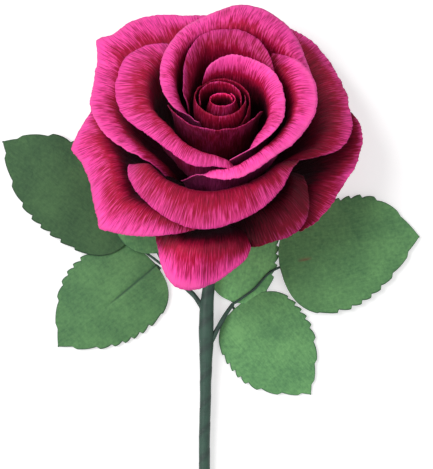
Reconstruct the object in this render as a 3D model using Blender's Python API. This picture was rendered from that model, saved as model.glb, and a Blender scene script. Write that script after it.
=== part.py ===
"""Crepe paper rose with two sprays of paper leaves, lying on its back.

The bloom's axis leans from the vertical towards +Y, the stem lies along -Y,
and the outer petals, leaves and stem rest on the surface z = 0.
Lengths are in millimetres until a mesh is made, and angles are in degrees.
"""
import math

import bpy
from mathutils import Matrix, Vector

# Driving sizes of the bloom
MM = 0.001
BLOOM_TILT = 40.0
BLOOM_LIFT = 9.9
# The petals' stations and the bud's roll are given in hundredths of this length
BLOOM_UNIT_LENGTH = 100.0
PETAL_PAPER = 0.4
GLUE_GAP = 0.3

# Receptacle: the turned core that every petal is glued round
RECEPTACLE_TOP_HEIGHT = 10.5
RECEPTACLE_TOP_RADIUS = 1.5
RECEPTACLE_WAIST_RADIUS = 5.4
RECEPTACLE_FOOT_HEIGHT = -4.6
RECEPTACLE_FOOT_RADIUS = 2.4
RECEPTACLE_RIM_DROP = 1.2
RECEPTACLE_SIDES = 16
PETAL_ROW_STEP = 1.05
FIRST_ROW_STEPS = 0.5

# Calyx: one cut strip with pointed sepals round the receptacle's foot
CALYX_PAPER = 0.4
SEPAL_COUNT = 5
SEPAL_REACH = 11.5
SEPAL_NOTCH_REACH = 7.6
SEPAL_RISE = 0.4
SEPAL_STEPS = 6
SEPAL_POINT = 1.5
SEPAL_ROW_SHARES = (0.5, 1.0)

# Stem: a straight wire core in a wound tape tube
STEM_LENGTH = 200.0
STEM_WIRE_RADIUS = 1.4
STEM_TAPE_RADIUS = 2.25
STEM_JOINT_SWELL = 0.75
STEM_JOINT_PLACE = -59.0
STEM_JOINT_SPREAD = 15.0
STEM_WIRE_SHOWS = 2.0
STEM_SIDES = 8
STEM_STEPS = 18

# Leaves and their wires
LEAF_PAPER = 0.4
LEAF_TEETH = 8
LEAF_TOOTH_DEPTH = 1.0
LEAF_SHOULDER = 0.68
LEAF_FULLNESS = 0.65
LEAF_BASE_HALF_WIDTH = 0.9
LEAF_TIP_HALF_WIDTH = 0.35
LEAF_WIRE_RADIUS = 0.5
LEAF_WIRE_SHARES = (0.0, 0.2, 0.4, 0.6)
TWIG_RADIUS = 1.25
ROD_SIDES = 6
ROD_STEPS = 6

# How each family of petals is shaped: the belly's share of the crest's radius,
# the share of the petal's turn that its base keeps, and its columns and rows
PETAL_FAMILIES = {
    "bud": {"belly": 0.70, "base_turn": 0.75, "columns": 10, "rows": 5},
    "inner": {"belly": 0.78, "base_turn": 0.48, "columns": 12, "rows": 7},
    "middle": {"belly": 0.74, "base_turn": 0.45, "columns": 16, "rows": 8},
    "front": {"belly": 0.68, "base_turn": 0.55, "columns": 14, "rows": 8},
    "outer": {"belly": 0.54, "base_turn": 0.55, "columns": 14, "rows": 7},
}
BELLY_HEIGHT_SHARE = 0.45
FAN_OPEN_SHARE = 0.62

# Petals from the inside out. A station is (angle, crest radius, crest height,
# rim radius, rim height) round the bloom's axis, where 0 is +X and 90 is away,
# and its lengths are hundredths of the bloom's unit length.
PETALS = [
    ("bud_petal_back", "bud", 1, [
        (-16, 10.2, 48.0, 9.8, 51.5), (33, 9.5, 48.0, 9.2, 51.8),
        (65, 9.0, 48.0, 8.8, 51.8), (95, 8.4, 48.0, 8.2, 51.8),
        (140, 7.8, 48.0, 7.6, 51.5), (200, 7.3, 47.5, 7.0, 51.0)]),
    ("bud_petal_front", "bud", 2, [
        (104, 9.5, 45.5, 9.5, 48.0), (130, 9.4, 47.2, 9.2, 50.3),
        (158, 9.2, 48.0, 8.9, 51.2), (215, 8.8, 48.0, 8.3, 51.5),
        (253, 9.9, 48.5, 9.4, 52.0), (281, 10.8, 48.5, 10.3, 52.0),
        (308, 11.6, 48.5, 11.1, 52.0), (333, 11.9, 48.5, 11.5, 51.8),
        (372, 11.5, 47.5, 11.2, 50.8)]),
    ("bud_petal_outer", "bud", 3, [
        (-44, 13.0, 43.0, 13.0, 45.5), (-20, 13.1, 46.0, 12.9, 48.8),
        (5, 13.0, 47.0, 12.8, 50.0), (40, 12.4, 47.5, 12.2, 50.5),
        (85, 11.1, 47.5, 10.9, 50.5), (118, 10.8, 46.0, 10.6, 49.0),
        (138, 10.7, 43.0, 10.7, 45.5)]),
    ("inner_petal_front", "inner", 4, [
        (164, 18.8, 39.5, 19.8, 41.5), (178, 18.4, 44.0, 19.4, 46.4),
        (208, 16.6, 47.5, 17.3, 49.5),
        (235, 15.5, 48.0, 16.2, 50.0), (266, 14.9, 48.0, 15.5, 50.0),
        (295, 15.4, 48.0, 16.0, 50.0), (324, 16.2, 47.5, 16.9, 49.5),
        (346, 17.0, 46.0, 17.8, 48.0), (358, 17.6, 42.0, 18.4, 44.0)]),
    ("inner_petal_right", "inner", 4, [
        (-79, 26.0, 42.5, 26.6, 44.0), (-71, 26.6, 45.4, 27.6, 47.0),
        (-59, 26.2, 47.2, 27.7, 48.8), (-48, 25.2, 48.6, 27.8, 49.6),
        (-30, 24.5, 49.8, 28.0, 50.3), (1, 24.0, 50.5, 26.8, 51.2),
        (29, 23.3, 51.2, 26.0, 53.0), (50, 21.6, 51.5, 23.4, 54.0),
        (82, 18.8, 51.5, 20.2, 53.8), (98, 16.2, 50.0, 17.2, 52.2),
        (108, 14.8, 47.6, 15.5, 49.6), (114, 14.0, 44.0, 14.4, 45.6)]),
    ("inner_petal_top", "inner", 5, [
        (26, 25.8, 43.5, 27.0, 44.5), (36, 26.9, 48.5, 28.3, 49.6),
        (50, 29.4, 52.5, 31.0, 53.5), (64, 31.0, 54.8, 33.0, 55.5),
        (85, 30.6, 55.5, 32.6, 56.3), (101, 28.6, 55.0, 30.4, 56.0),
        (122, 21.2, 54.0, 22.7, 55.3),
        (147, 14.9, 52.0, 15.9, 54.0), (186, 12.3, 50.5, 12.9, 52.5)]),
    ("middle_petal_top", "middle", 6, [
        (28, 41.5, 40.5, 43.3, 39.5), (38, 42.3, 47.0, 44.6, 46.0),
        (50, 41.5, 52.5, 46.5, 51.5), (72, 39.0, 57.0, 47.5, 56.0),
        (97, 35.4, 57.2, 40.2, 56.0), (125, 29.0, 56.6, 32.0, 55.5),
        (160, 20.6, 53.0, 24.0, 52.5), (187, 16.2, 49.5, 18.5, 50.2),
        (206, 13.1, 47.5, 14.2, 49.0), (234, 11.1, 46.0, 11.8, 48.0)]),
    ("middle_petal_right", "middle", 6, [
        (-118, 29.4, 31.0, 30.2, 32.0), (-104, 30.0, 38.0, 31.0, 39.6),
        (-92, 31.8, 42.0, 33.6, 41.4), (-76, 32.6, 44.8, 35.8, 43.5),
        (-51, 30.6, 46.2, 33.9, 45.0),
        (-25, 31.0, 46.6, 35.9, 45.0), (-1, 32.5, 47.0, 39.3, 45.2),
        (17, 33.0, 47.6, 41.0, 46.0), (37, 33.0, 47.8, 39.7, 48.0),
        (50, 31.7, 46.8, 34.0, 49.0)]),
    ("middle_petal_left", "middle", 7, [
        (112, 33.0, 41.0, 35.0, 42.5), (124, 33.8, 47.0, 38.2, 48.6),
        (138, 33.5, 48.2, 44.0, 47.2),
        (160, 31.0, 48.2, 42.7, 45.6), (181, 28.0, 47.6, 38.4, 44.4),
        (205, 24.2, 47.0, 30.6, 44.4), (230, 24.5, 46.6, 28.8, 44.6),
        (253, 26.0, 46.0, 30.6, 44.2), (268, 26.6, 45.0, 29.2, 43.9),
        (278, 27.2, 43.0, 28.2, 42.7)]),
    ("front_petal", "front", 8, [
        (203, 34.6, 26.5, 38.0, 28.4), (209, 35.8, 31.0, 40.4, 31.0),
        (217, 36.6, 36.0, 43.4, 32.2),
        (236, 38.0, 37.2, 47.4, 32.0), (262, 38.4, 37.6, 52.0, 32.0),
        (284, 36.6, 37.6, 48.2, 33.5), (305, 35.4, 37.5, 42.8, 35.2),
        (322, 34.8, 36.0, 38.0, 35.8), (334, 34.6, 31.0, 36.2, 32.0)]),
    ("outer_petal_top_left", "outer", 9, [
        (88, 47.0, 36.5, 55.5, 37.0), (102, 49.0, 35.8, 58.4, 36.2),
        (112, 52.0, 35.5, 62.5, 36.0), (122, 54.4, 35.2, 65.6, 35.0),
        (132, 54.2, 35.0, 65.3, 34.4), (136, 53.8, 35.0, 66.8, 33.8),
        (140, 52.4, 34.8, 63.4, 33.6), (150, 47.8, 34.0, 56.8, 33.0),
        (165, 44.5, 33.5, 52.6, 32.0), (180, 39.6, 33.2, 46.0, 32.0),
        (194, 34.4, 32.4, 38.6, 32.0), (204, 30.8, 31.2, 33.6, 31.6),
        (213, 28.4, 29.4, 30.2, 30.4), (224, 27.2, 26.0, 28.4, 27.0)]),
    ("outer_petal_top_right", "outer", 9, [
        (-22, 32.0, 28.0, 35.2, 29.5), (-15, 37.0, 28.6, 41.7, 28.2),
        (-8, 42.0, 29.2, 48.8, 28.0), (1, 45.0, 29.8, 53.2, 28.0),
        (18, 47.0, 30.4, 55.8, 28.4), (34, 49.0, 31.5, 58.2, 29.4),
        (50, 51.0, 33.4, 61.0, 32.2), (61, 51.0, 35.0, 60.9, 34.2),
        (72, 48.0, 36.0, 57.0, 37.0)]),
    ("outer_petal_left", "outer", 10, [
        (157, 44.6, 26.0, 52.4, 25.0), (167, 45.4, 26.2, 55.0, 22.5),
        (175, 46.0, 25.9, 57.2, 20.4), (179, 46.0, 25.7, 58.4, 19.6),
        (183, 45.4, 25.5, 56.2, 19.2), (192, 44.4, 25.0, 53.2, 18.0),
        (205, 45.0, 24.5, 54.5, 16.6), (215, 47.0, 24.1, 57.8, 16.0),
        (219, 47.6, 24.0, 60.0, 16.0), (223, 47.0, 24.2, 58.2, 16.4),
        (232, 45.5, 24.8, 54.8, 18.0), (246, 41.0, 24.8, 48.2, 19.4),
        (259, 36.5, 23.2, 42.5, 20.4)]),
    ("outer_petal_bottom", "outer", 11, [
        (234, 33.0, 12.5, 42.0, 9.5), (240, 34.6, 15.0, 47.0, 9.0),
        (246, 36.0, 17.6, 53.0, 5.0), (252, 37.0, 19.6, 57.4, 2.0),
        (260, 38.0, 21.0, 57.4, 0.4),
        (268, 37.5, 21.0, 54.0, 1.0), (276, 36.5, 20.0, 51.0, 3.5),
        (284, 34.5, 18.0, 46.6, 7.0), (290, 31.5, 16.0, 41.0, 12.0)]),
    ("outer_petal_right", "outer", 11, [
        (-46, 38.0, 11.0, 47.5, 9.5), (-37, 41.5, 13.0, 50.0, 11.5),
        (-27, 43.0, 14.5, 51.4, 13.5), (-18, 44.0, 16.0, 52.5, 16.0),
        (-10, 46.0, 17.0, 55.0, 18.0), (-2, 47.5, 18.0, 57.2, 19.5),
        (6, 48.0, 19.5, 58.8, 22.0), (14, 47.0, 21.0, 57.7, 23.5),
        (22, 45.0, 21.0, 54.5, 24.5)]),
    ("outer_petal_lower_right", "outer", 10, [
        (281, 27.0, 6.5, 36.0, 2.6), (291, 31.0, 11.4, 41.8, 6.0),
        (299, 35.0, 17.0, 45.6, 10.0), (306, 37.5, 20.0, 49.2, 13.5),
        (314, 38.5, 21.5, 49.6, 16.0), (323, 37.3, 21.8, 45.8, 18.0),
        (332, 34.6, 21.2, 40.8, 19.2), (339, 32.6, 19.6, 36.8, 19.4)]),
]

# Bud roll: a strip wound a little more than once round its own centre, with a
# belly under its mouth and flatter from front to back. Its radii, pitches and top
# height are hundredths of the bloom's unit length.
ROLL_CENTRE = (1.9, 0.7)
ROLL_TURN = 410.0
ROLL_MOUTH_RADIUS = 3.6
ROLL_MOUTH_PITCH = 1.2
ROLL_BELLY_RADIUS = 4.5
ROLL_BELLY_PITCH = 1.1
ROLL_BELLY_SHARE = 0.84
ROLL_FLATNESS = 0.26
ROLL_BASE_RADIUS = 0.9
ROLL_BASE_PITCH = 0.75
ROLL_BASE_HEIGHT = 11.2
ROLL_TOP_HEIGHT = 50.0
ROLL_COLUMNS = 20
ROLL_ROW_SHARES = (0.0, 0.28, 0.56, 0.84, 0.93, 1.0)

# The stem's middle line below the bend, as (x, y, z) from the bloom's foot
STEM_LINE = [
    (0.0, -9.0, 3.9), (-0.6, -18.0, 4.3), (-2.0, -31.0, 4.8), (-4.1, -50.0, 4.9),
    (-4.4, -69.0, 4.6), (-4.7, -88.0, 4.0), (-5.1, -107.0, 3.3), (-4.8, -130.0, 2.6),
    (-4.4, -0.8 * STEM_LENGTH, 2.3), (-4.8, -STEM_LENGTH, 2.3)]
STEM_NECK_HEIGHTS = (-6.4, -7.2)

# Each leaf: base point and height, direction, length, half widths to the left
# and right of its midrib, rise of the midrib's middle and tip, and edge drop
LEAVES = {
    "leaf_left_tip": {"base": (-36.0, -23.4), "height": 2.9, "direction": 142.0, "length": 63.0,
                      "left": 18.3, "right": 18.8, "mid": 1.0, "tip": -2.0, "drop": 1.2},
    "leaf_left_lower": {"base": (-24.6, -33.6), "height": 2.0, "direction": -140.5, "length": 51.5,
                        "left": 19.0, "right": 20.8, "mid": 1.2, "tip": -1.5, "drop": 1.6},
    "leaf_left_hidden": {"base": (-24.0, -28.4), "height": 4.6, "direction": 99.0, "length": 48.0,
                         "left": 16.5, "right": 16.5, "mid": 2.6, "tip": 3.6, "drop": 0.9},
    "leaf_right_tip": {"base": (25.6, -34.2), "height": 3.6, "direction": 12.0, "length": 56.6,
                       "left": 20.8, "right": 23.0, "mid": 1.0, "tip": -2.2, "drop": 1.4},
    "leaf_right_lower": {"base": (7.6, -51.8), "height": 1.9, "direction": -48.5, "length": 44.6,
                         "left": 19.6, "right": 16.8, "mid": 0.9, "tip": -1.2, "drop": 1.3},
    "leaf_right_back": {"base": (9.8, -47.2), "height": 1.9, "direction": 84.0, "length": 45.0,
                        "left": 14.0, "right": 15.4, "mid": 0.6, "tip": -0.6, "drop": 1.0},
}

# Taped twigs from the stem to each spray's fork, and each leaf wire's way there
TWIGS = {
    "twig_left": [(-8.4, -52.0, 4.6), (-10.6, -47.5, 4.2), (-13.4, -42.6, 3.6), (-21.6, -34.4, 2.3)],
    "twig_right": [(0.2, -61.6, 4.4), (2.0, -58.6, 3.8), (4.6, -53.4, 3.0), (6.4, -49.6, 2.6)],
}
LEAF_WIRES = {
    "leaf_left_tip": [(-22.7, -33.0, 2.4), (-29.0, -28.2, 2.0)],
    "leaf_left_lower": [(-22.9, -35.0, 1.2)],
    "leaf_left_hidden": [(-21.8, -32.6, 3.5)],
    "leaf_right_tip": [(7.6, -48.4, 3.0), (15.0, -43.2, 2.9), (21.8, -36.2, 2.6)],
    "leaf_right_lower": [(7.0, -51.2, 0.9)],
    "leaf_right_back": [(8.0, -48.6, 0.9)],
}

# Colours as (red, green, blue) and roughness of each material
PETAL_COLOUR = (0.60, 0.012, 0.10)
PETAL_ROUGHNESS = 0.6
LEAF_COLOUR = (0.065, 0.20, 0.075)
LEAF_ROUGHNESS = 0.75
TAPE_COLOUR = (0.03, 0.09, 0.045)
TAPE_ROUGHNESS = 0.6
WIRE_COLOUR = (0.35, 0.35, 0.36)
WIRE_ROUGHNESS = 0.35
CORE_COLOUR = (0.75, 0.72, 0.65)
CORE_ROUGHNESS = 0.8


def clear_scene():
    """Remove what the file holds at the start."""
    for item in list(bpy.data.objects):
        bpy.data.objects.remove(item, do_unlink=True)


def material(name, colour, roughness, metallic=0.0):
    """A plain Principled material."""
    made = bpy.data.materials.new(name)
    made.use_nodes = True
    shader = made.node_tree.nodes["Principled BSDF"]
    shader.inputs["Base Color"].default_value = (*colour, 1.0)
    shader.inputs["Roughness"].default_value = roughness
    shader.inputs["Metallic"].default_value = metallic
    return made


def mesh_object(name, points, faces, parent=None):
    """An object from points in millimetres."""
    mesh = bpy.data.meshes.new(name)
    mesh.from_pydata([tuple(MM * value for value in point) for point in points], [], faces)
    mesh.update()
    mesh.shade_smooth()
    made = bpy.data.objects.new(name, mesh)
    bpy.context.collection.objects.link(made)
    made.parent = parent
    return made


def paper_sheet(name, rows, thickness, parent=None, closed=False):
    """A sheet through rows of points, given its thickness by Solidify."""
    width = len(rows[0])
    points = [point for row in rows for point in row]
    faces = []
    for i in range(len(rows) - 1):
        for j in range(width if closed else width - 1):
            here = i * width + j
            beside = i * width + (j + 1) % width
            faces.append((here, beside, beside + width, here + width))
    made = mesh_object(name, points, faces, parent)
    solid = made.modifiers.new("paper", "SOLIDIFY")
    solid.thickness = thickness * MM
    solid.offset = 0.0
    return made


def smooth_slopes(knots, values):
    """Slopes for a smooth curve through points that are unevenly spaced."""
    steps = [b - a for a, b in zip(knots, knots[1:])]
    rises = [[(q - p) / step for p, q in zip(a, b)]
             for a, b, step in zip(values, values[1:], steps)]
    slopes = [rises[0]]
    for i in range(1, len(values) - 1):
        near, far = steps[i - 1], steps[i]
        slopes.append([(far * a + near * b) / (near + far)
                       for a, b in zip(rises[i - 1], rises[i])])
    slopes.append(rises[-1])
    return slopes


def smooth_at(knots, values, slopes, place):
    """The smooth curve's point at one place."""
    i = 0
    while i < len(knots) - 2 and place > knots[i + 1]:
        i += 1
    step = knots[i + 1] - knots[i]
    t = (place - knots[i]) / step
    a = 2 * t ** 3 - 3 * t ** 2 + 1
    b = t ** 3 - 2 * t ** 2 + t
    c = 3 * t ** 2 - 2 * t ** 3
    d = t ** 3 - t ** 2
    return [a * p + b * step * m + c * q + d * step * n for p, m, q, n in zip(
        values[i], slopes[i], values[i + 1], slopes[i + 1])]


def smooth_line(points, count):
    """Count + 1 points, evenly spaced, on a smooth line through the points."""
    knots = [0.0]
    for a, b in zip(points, points[1:]):
        knots.append(knots[-1] + math.dist(a, b))
    slopes = smooth_slopes(knots, points)
    return [smooth_at(knots, points, slopes, knots[-1] * i / count) for i in range(count + 1)]


def ease(value):
    """A smooth step from 0 to 1."""
    value = min(1.0, max(0.0, value))
    return value * value * (3 - 2 * value)


def receptacle_radius(height):
    """Radius of the receptacle's cone at one height."""
    share = height / RECEPTACLE_TOP_HEIGHT
    return RECEPTACLE_WAIST_RADIUS + share * (RECEPTACLE_TOP_RADIUS - RECEPTACLE_WAIST_RADIUS)


def petal_base(row):
    """Where a row of petals is glued: radius and height, the first row on top."""
    height = RECEPTACLE_TOP_HEIGHT - PETAL_ROW_STEP * (row - FIRST_ROW_STEPS)
    height = max(height, RECEPTACLE_FOOT_HEIGHT)
    return receptacle_radius(height) + GLUE_GAP + PETAL_PAPER / 2, height


def petal_rows(stations, family, row):
    """A petal's sheet, from its glued base out to its rim."""
    shape = PETAL_FAMILIES[family]
    knots = [station[0] for station in stations]
    slopes = smooth_slopes(knots, stations)
    middle = (knots[0] + knots[-1]) / 2
    base_radius, base_height = petal_base(row)
    columns, rows = shape["columns"], shape["rows"]
    size = BLOOM_UNIT_LENGTH / 100
    lines = []
    for j in range(columns + 1):
        place = knots[0] + (knots[-1] - knots[0]) * j / columns
        angle, *lengths = smooth_at(knots, stations, slopes, place)
        crest_radius, crest_height, rim_radius, rim_height = [size * value for value in lengths]
        belly_radius = base_radius + shape["belly"] * (crest_radius - base_radius)
        belly_height = base_height + BELLY_HEIGHT_SHARE * (crest_height - base_height)
        profile = smooth_line([
            (base_radius, base_height), (belly_radius, belly_height),
            (crest_radius, crest_height), (rim_radius, rim_height)], rows)
        line = []
        for i, (radius, height) in enumerate(profile):
            fan = ease(i / rows / FAN_OPEN_SHARE)
            turn = middle + (angle - middle) * (shape["base_turn"] + (1 - shape["base_turn"]) * fan)
            line.append((radius * math.cos(math.radians(turn)),
                         radius * math.sin(math.radians(turn)), height))
        lines.append(line)
    return [[line[i] for line in lines] for i in range(rows + 1)]


def add_petals(bloom, paper):
    """All petals except the bud's roll."""
    for name, family, row, stations in PETALS:
        petal = paper_sheet(name, petal_rows(stations, family, row), PETAL_PAPER, bloom)
        petal.data.materials.append(paper)


def add_bud_roll(bloom, paper):
    """The strip rolled up in the middle of the bud."""
    size = BLOOM_UNIT_LENGTH / 100
    rows = []
    for rise in ROLL_ROW_SHARES:
        lean = ease(rise / ROLL_BELLY_SHARE)
        curl = ease((rise - ROLL_BELLY_SHARE) / (1 - ROLL_BELLY_SHARE))
        deep = 1 - ROLL_FLATNESS * lean
        row = []
        for j in range(ROLL_COLUMNS + 1):
            turn = ROLL_TURN * j / ROLL_COLUMNS
            wound = turn / 360
            low = ROLL_BASE_RADIUS + ROLL_BASE_PITCH * wound
            belly = size * (ROLL_BELLY_RADIUS + ROLL_BELLY_PITCH * wound)
            mouth = size * (ROLL_MOUTH_RADIUS + ROLL_MOUTH_PITCH * wound)
            radius = low + (belly - low) * lean + (mouth - belly) * curl
            row.append((size * ROLL_CENTRE[0] * lean + radius * math.cos(math.radians(turn)),
                        size * ROLL_CENTRE[1] * lean + deep * radius * math.sin(math.radians(turn)),
                        ROLL_BASE_HEIGHT + rise * (size * ROLL_TOP_HEIGHT - ROLL_BASE_HEIGHT)))
        rows.append(row)
    roll = paper_sheet("bud_roll", rows, PETAL_PAPER, bloom)
    roll.data.materials.append(paper)


def turned_solid(name, profile, sides, parent):
    """A closed solid turned from (radius, height) points that start and end on the axis."""
    points = [(0.0, 0.0, profile[0][1])]
    for radius, height in profile[1:-1]:
        for k in range(sides):
            angle = 2 * math.pi * k / sides
            points.append((radius * math.cos(angle), radius * math.sin(angle), height))
    points.append((0.0, 0.0, profile[-1][1]))
    rings = len(profile) - 2
    last = len(points) - 1
    faces = []
    for k in range(sides):
        beside = (k + 1) % sides
        faces.append((0, 1 + beside, 1 + k))
        for r in range(rings - 1):
            low, high = 1 + r * sides, 1 + (r + 1) * sides
            faces.append((low + k, low + beside, high + beside, high + k))
        top = 1 + (rings - 1) * sides
        faces.append((top + k, top + beside, last))
    return mesh_object(name, points, faces, parent)


def add_receptacle(bloom, core):
    """The turned core, wide at its waist and narrow at its top."""
    made = turned_solid("receptacle", [
        (0.0, RECEPTACLE_FOOT_HEIGHT), (RECEPTACLE_FOOT_RADIUS, RECEPTACLE_FOOT_HEIGHT),
        (RECEPTACLE_WAIST_RADIUS, -RECEPTACLE_RIM_DROP), (RECEPTACLE_WAIST_RADIUS, 0.0),
        (RECEPTACLE_TOP_RADIUS, RECEPTACLE_TOP_HEIGHT), (0.0, RECEPTACLE_TOP_HEIGHT)],
        RECEPTACLE_SIDES, bloom)
    made.data.materials.append(core)


def add_calyx(bloom, leaf_paper):
    """A cup of leaf paper round the receptacle's foot, cut into sepals."""
    clear = GLUE_GAP + CALYX_PAPER / 2
    steps = SEPAL_STEPS * SEPAL_COUNT
    profile = [(RECEPTACLE_FOOT_RADIUS + clear, RECEPTACLE_FOOT_HEIGHT),
               (RECEPTACLE_WAIST_RADIUS + clear, -RECEPTACLE_RIM_DROP - clear)]
    rows = []
    for radius, height in profile:
        rows.append([(radius * math.cos(2 * math.pi * k / steps),
                      radius * math.sin(2 * math.pi * k / steps), height) for k in range(steps)])
    for share in SEPAL_ROW_SHARES:
        row = []
        for k in range(steps):
            angle = 2 * math.pi * k / steps
            point = abs(math.cos(SEPAL_COUNT * angle / 2)) ** SEPAL_POINT
            reach = SEPAL_NOTCH_REACH + (SEPAL_REACH - SEPAL_NOTCH_REACH) * point
            radius = profile[-1][0] + share * (reach - profile[-1][0])
            height = profile[-1][1] + SEPAL_RISE * share
            row.append((radius * math.cos(angle), radius * math.sin(angle), height))
        rows.append(row)
    made = paper_sheet("calyx", rows, CALYX_PAPER, bloom, closed=True)
    made.data.materials.append(leaf_paper)


def swept_rings(line, radii, sides):
    """Rings of points square to a line."""
    rings = []
    for i, centre in enumerate(line):
        ahead = Vector(line[min(i + 1, len(line) - 1)]) - Vector(line[max(i - 1, 0)])
        ahead.normalize()
        side = ahead.cross(Vector((0, 0, 1))).normalized()
        up = side.cross(ahead)
        ring = []
        for k in range(sides):
            angle = 2 * math.pi * (k + 0.5) / sides
            ring.append(tuple(Vector(centre) + radii[i] * (math.cos(angle) * side + math.sin(angle) * up)))
        rings.append(ring)
    return rings


def rod(name, line, radii, sides, surface):
    """A solid rod along a line."""
    rings = swept_rings(line, radii, sides)
    points = [point for ring in rings for point in ring]
    faces = [tuple(reversed(range(sides)))]
    for i in range(len(rings) - 1):
        for k in range(sides):
            beside = (k + 1) % sides
            faces.append((i * sides + k, i * sides + beside,
                          (i + 1) * sides + beside, (i + 1) * sides + k))
    last = (len(rings) - 1) * sides
    faces.append(tuple(last + k for k in range(sides)))
    faces = [tuple(reversed(face)) for face in faces]
    made = mesh_object(name, points, faces)
    made.data.materials.append(surface)
    return made


def tube(name, line, outer, inner, sides, surface):
    """A tube along a line, open at both ends."""
    outside = swept_rings(line, outer, sides)
    inside = swept_rings(line, inner, sides)
    rings = outside + inside[::-1]
    points = [point for ring in rings for point in ring]
    count = len(rings)
    faces = []
    for i in range(count):
        following = (i + 1) % count
        for k in range(sides):
            beside = (k + 1) % sides
            faces.append((i * sides + k, following * sides + k,
                          following * sides + beside, i * sides + beside))
    made = mesh_object(name, points, faces)
    made.data.materials.append(surface)
    return made


def bloom_matrix():
    """From the bloom's own axes to the world, in millimetres."""
    return Matrix.Translation((0, 0, BLOOM_LIFT)) @ Matrix.Rotation(-math.radians(BLOOM_TILT), 4, "X")


def stem_line():
    """The stem's middle line from the bloom's foot to its cut end."""
    neck = [tuple(bloom_matrix() @ Vector((0, 0, height))) for height in STEM_NECK_HEIGHTS]
    return smooth_line(neck + STEM_LINE, STEM_STEPS)


def add_stem(wire, tape):
    """The wire core and the tape tube round it, thicker where the twigs join."""
    line = stem_line()
    outer = []
    for x, y, z in line:
        swell = math.exp(-((y - STEM_JOINT_PLACE) / STEM_JOINT_SPREAD) ** 2)
        outer.append(STEM_TAPE_RADIUS + STEM_JOINT_SWELL * swell)
    inner = [STEM_WIRE_RADIUS + GLUE_GAP] * len(line)
    tube("stem_tape", line, outer, inner, STEM_SIDES, tape)
    end = Vector(line[-1]) + (Vector(line[-1]) - Vector(line[-2])).normalized() * STEM_WIRE_SHOWS
    core = line + [tuple(end)]
    rod("stem_wire", core, [STEM_WIRE_RADIUS] * len(core), STEM_SIDES, wire)


def leaf_half_width(share, widest):
    """Half the blade's width at one share of its length."""
    return widest * math.sin(math.pi * share ** LEAF_SHOULDER) ** LEAF_FULLNESS


def leaf_point(leaf, share, across):
    """A point of the blade: across is in millimetres, left of the midrib first."""
    angle = math.radians(leaf["direction"])
    along = share * leaf["length"]
    widest = leaf["left"] if across > 0 else leaf["right"]
    rise = leaf["mid"] * math.sin(math.pi * share) + leaf["tip"] * share ** 2
    drop = leaf["drop"] * (across / widest) ** 2
    return (leaf["base"][0] + along * math.cos(angle) - across * math.sin(angle),
            leaf["base"][1] + along * math.sin(angle) + across * math.cos(angle),
            leaf["height"] + rise - drop)


def leaf_rows(leaf):
    """The blade's sheet with a cut tooth at every other row of its edge."""
    steps = 2 * LEAF_TEETH
    rows = []
    for i in range(steps + 1):
        share = i / steps
        ends = LEAF_BASE_HALF_WIDTH if i == 0 else LEAF_TIP_HALF_WIDTH
        notch = LEAF_TOOTH_DEPTH if i % 2 == 0 and 0 < i < steps else 0.0
        left = max(leaf_half_width(share, leaf["left"]) - notch, ends)
        right = max(leaf_half_width(share, leaf["right"]) - notch, ends)
        rows.append([leaf_point(leaf, share, across)
                     for across in (left, left / 2, 0.0, -right / 2, -right)])
    return rows


def add_leaves(leaf_paper, tape):
    """The cut blades, each with its taped wire glued under the midrib."""
    below = LEAF_PAPER / 2 + GLUE_GAP + LEAF_WIRE_RADIUS
    for name, leaf in LEAVES.items():
        blade = paper_sheet(name, leaf_rows(leaf), LEAF_PAPER)
        blade.data.materials.append(leaf_paper)
        under = []
        for share in LEAF_WIRE_SHARES:
            x, y, z = leaf_point(leaf, share, 0.0)
            under.append((x, y, z - below))
        line = smooth_line(LEAF_WIRES[name] + under, ROD_STEPS)
        rod(name + "_wire", line, [LEAF_WIRE_RADIUS] * len(line), ROD_SIDES, tape)


def add_twigs(tape):
    """The taped twigs from the stem to each fork."""
    for name, points in TWIGS.items():
        line = smooth_line(points, ROD_STEPS)
        rod(name, line, [TWIG_RADIUS] * len(line), ROD_SIDES, tape)


def settle_on_origin():
    """Move the rose so that its box stands on z = 0 with its middle over the origin."""
    graph = bpy.context.evaluated_depsgraph_get()
    corners = []
    for item in bpy.data.objects:
        if item.type == "MESH":
            solid = item.evaluated_get(graph)
            corners += [item.matrix_world @ vertex.co for vertex in solid.data.vertices]
    low = [min(corner[axis] for corner in corners) for axis in range(3)]
    high = [max(corner[axis] for corner in corners) for axis in range(3)]
    shift = Vector(((low[0] + high[0]) / 2, (low[1] + high[1]) / 2, low[2]))
    for item in bpy.data.objects:
        if item.parent is None:
            item.location -= shift


def main():
    """Make every part of the rose."""
    clear_scene()
    petal_paper = material("petal_crepe_paper", PETAL_COLOUR, PETAL_ROUGHNESS)
    leaf_paper = material("leaf_paper", LEAF_COLOUR, LEAF_ROUGHNESS)
    tape = material("stem_tape", TAPE_COLOUR, TAPE_ROUGHNESS)
    wire = material("steel_wire", WIRE_COLOUR, WIRE_ROUGHNESS, 1.0)
    core = material("paper_core", CORE_COLOUR, CORE_ROUGHNESS)
    bloom = bpy.data.objects.new("bloom", None)
    bpy.context.collection.objects.link(bloom)
    bloom.location = (0.0, 0.0, BLOOM_LIFT * MM)
    bloom.rotation_euler = (-math.radians(BLOOM_TILT), 0.0, 0.0)
    add_bud_roll(bloom, petal_paper)
    add_petals(bloom, petal_paper)
    add_receptacle(bloom, core)
    add_calyx(bloom, leaf_paper)
    add_stem(wire, tape)
    add_twigs(tape)
    add_leaves(leaf_paper, tape)
    settle_on_origin()


main()
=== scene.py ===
import math

import bpy
import numpy as np
from bpy.props import FloatProperty, FloatVectorProperty, PointerProperty
from mathutils import Matrix, Vector, noise
from mathutils.bvhtree import BVHTree


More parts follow.
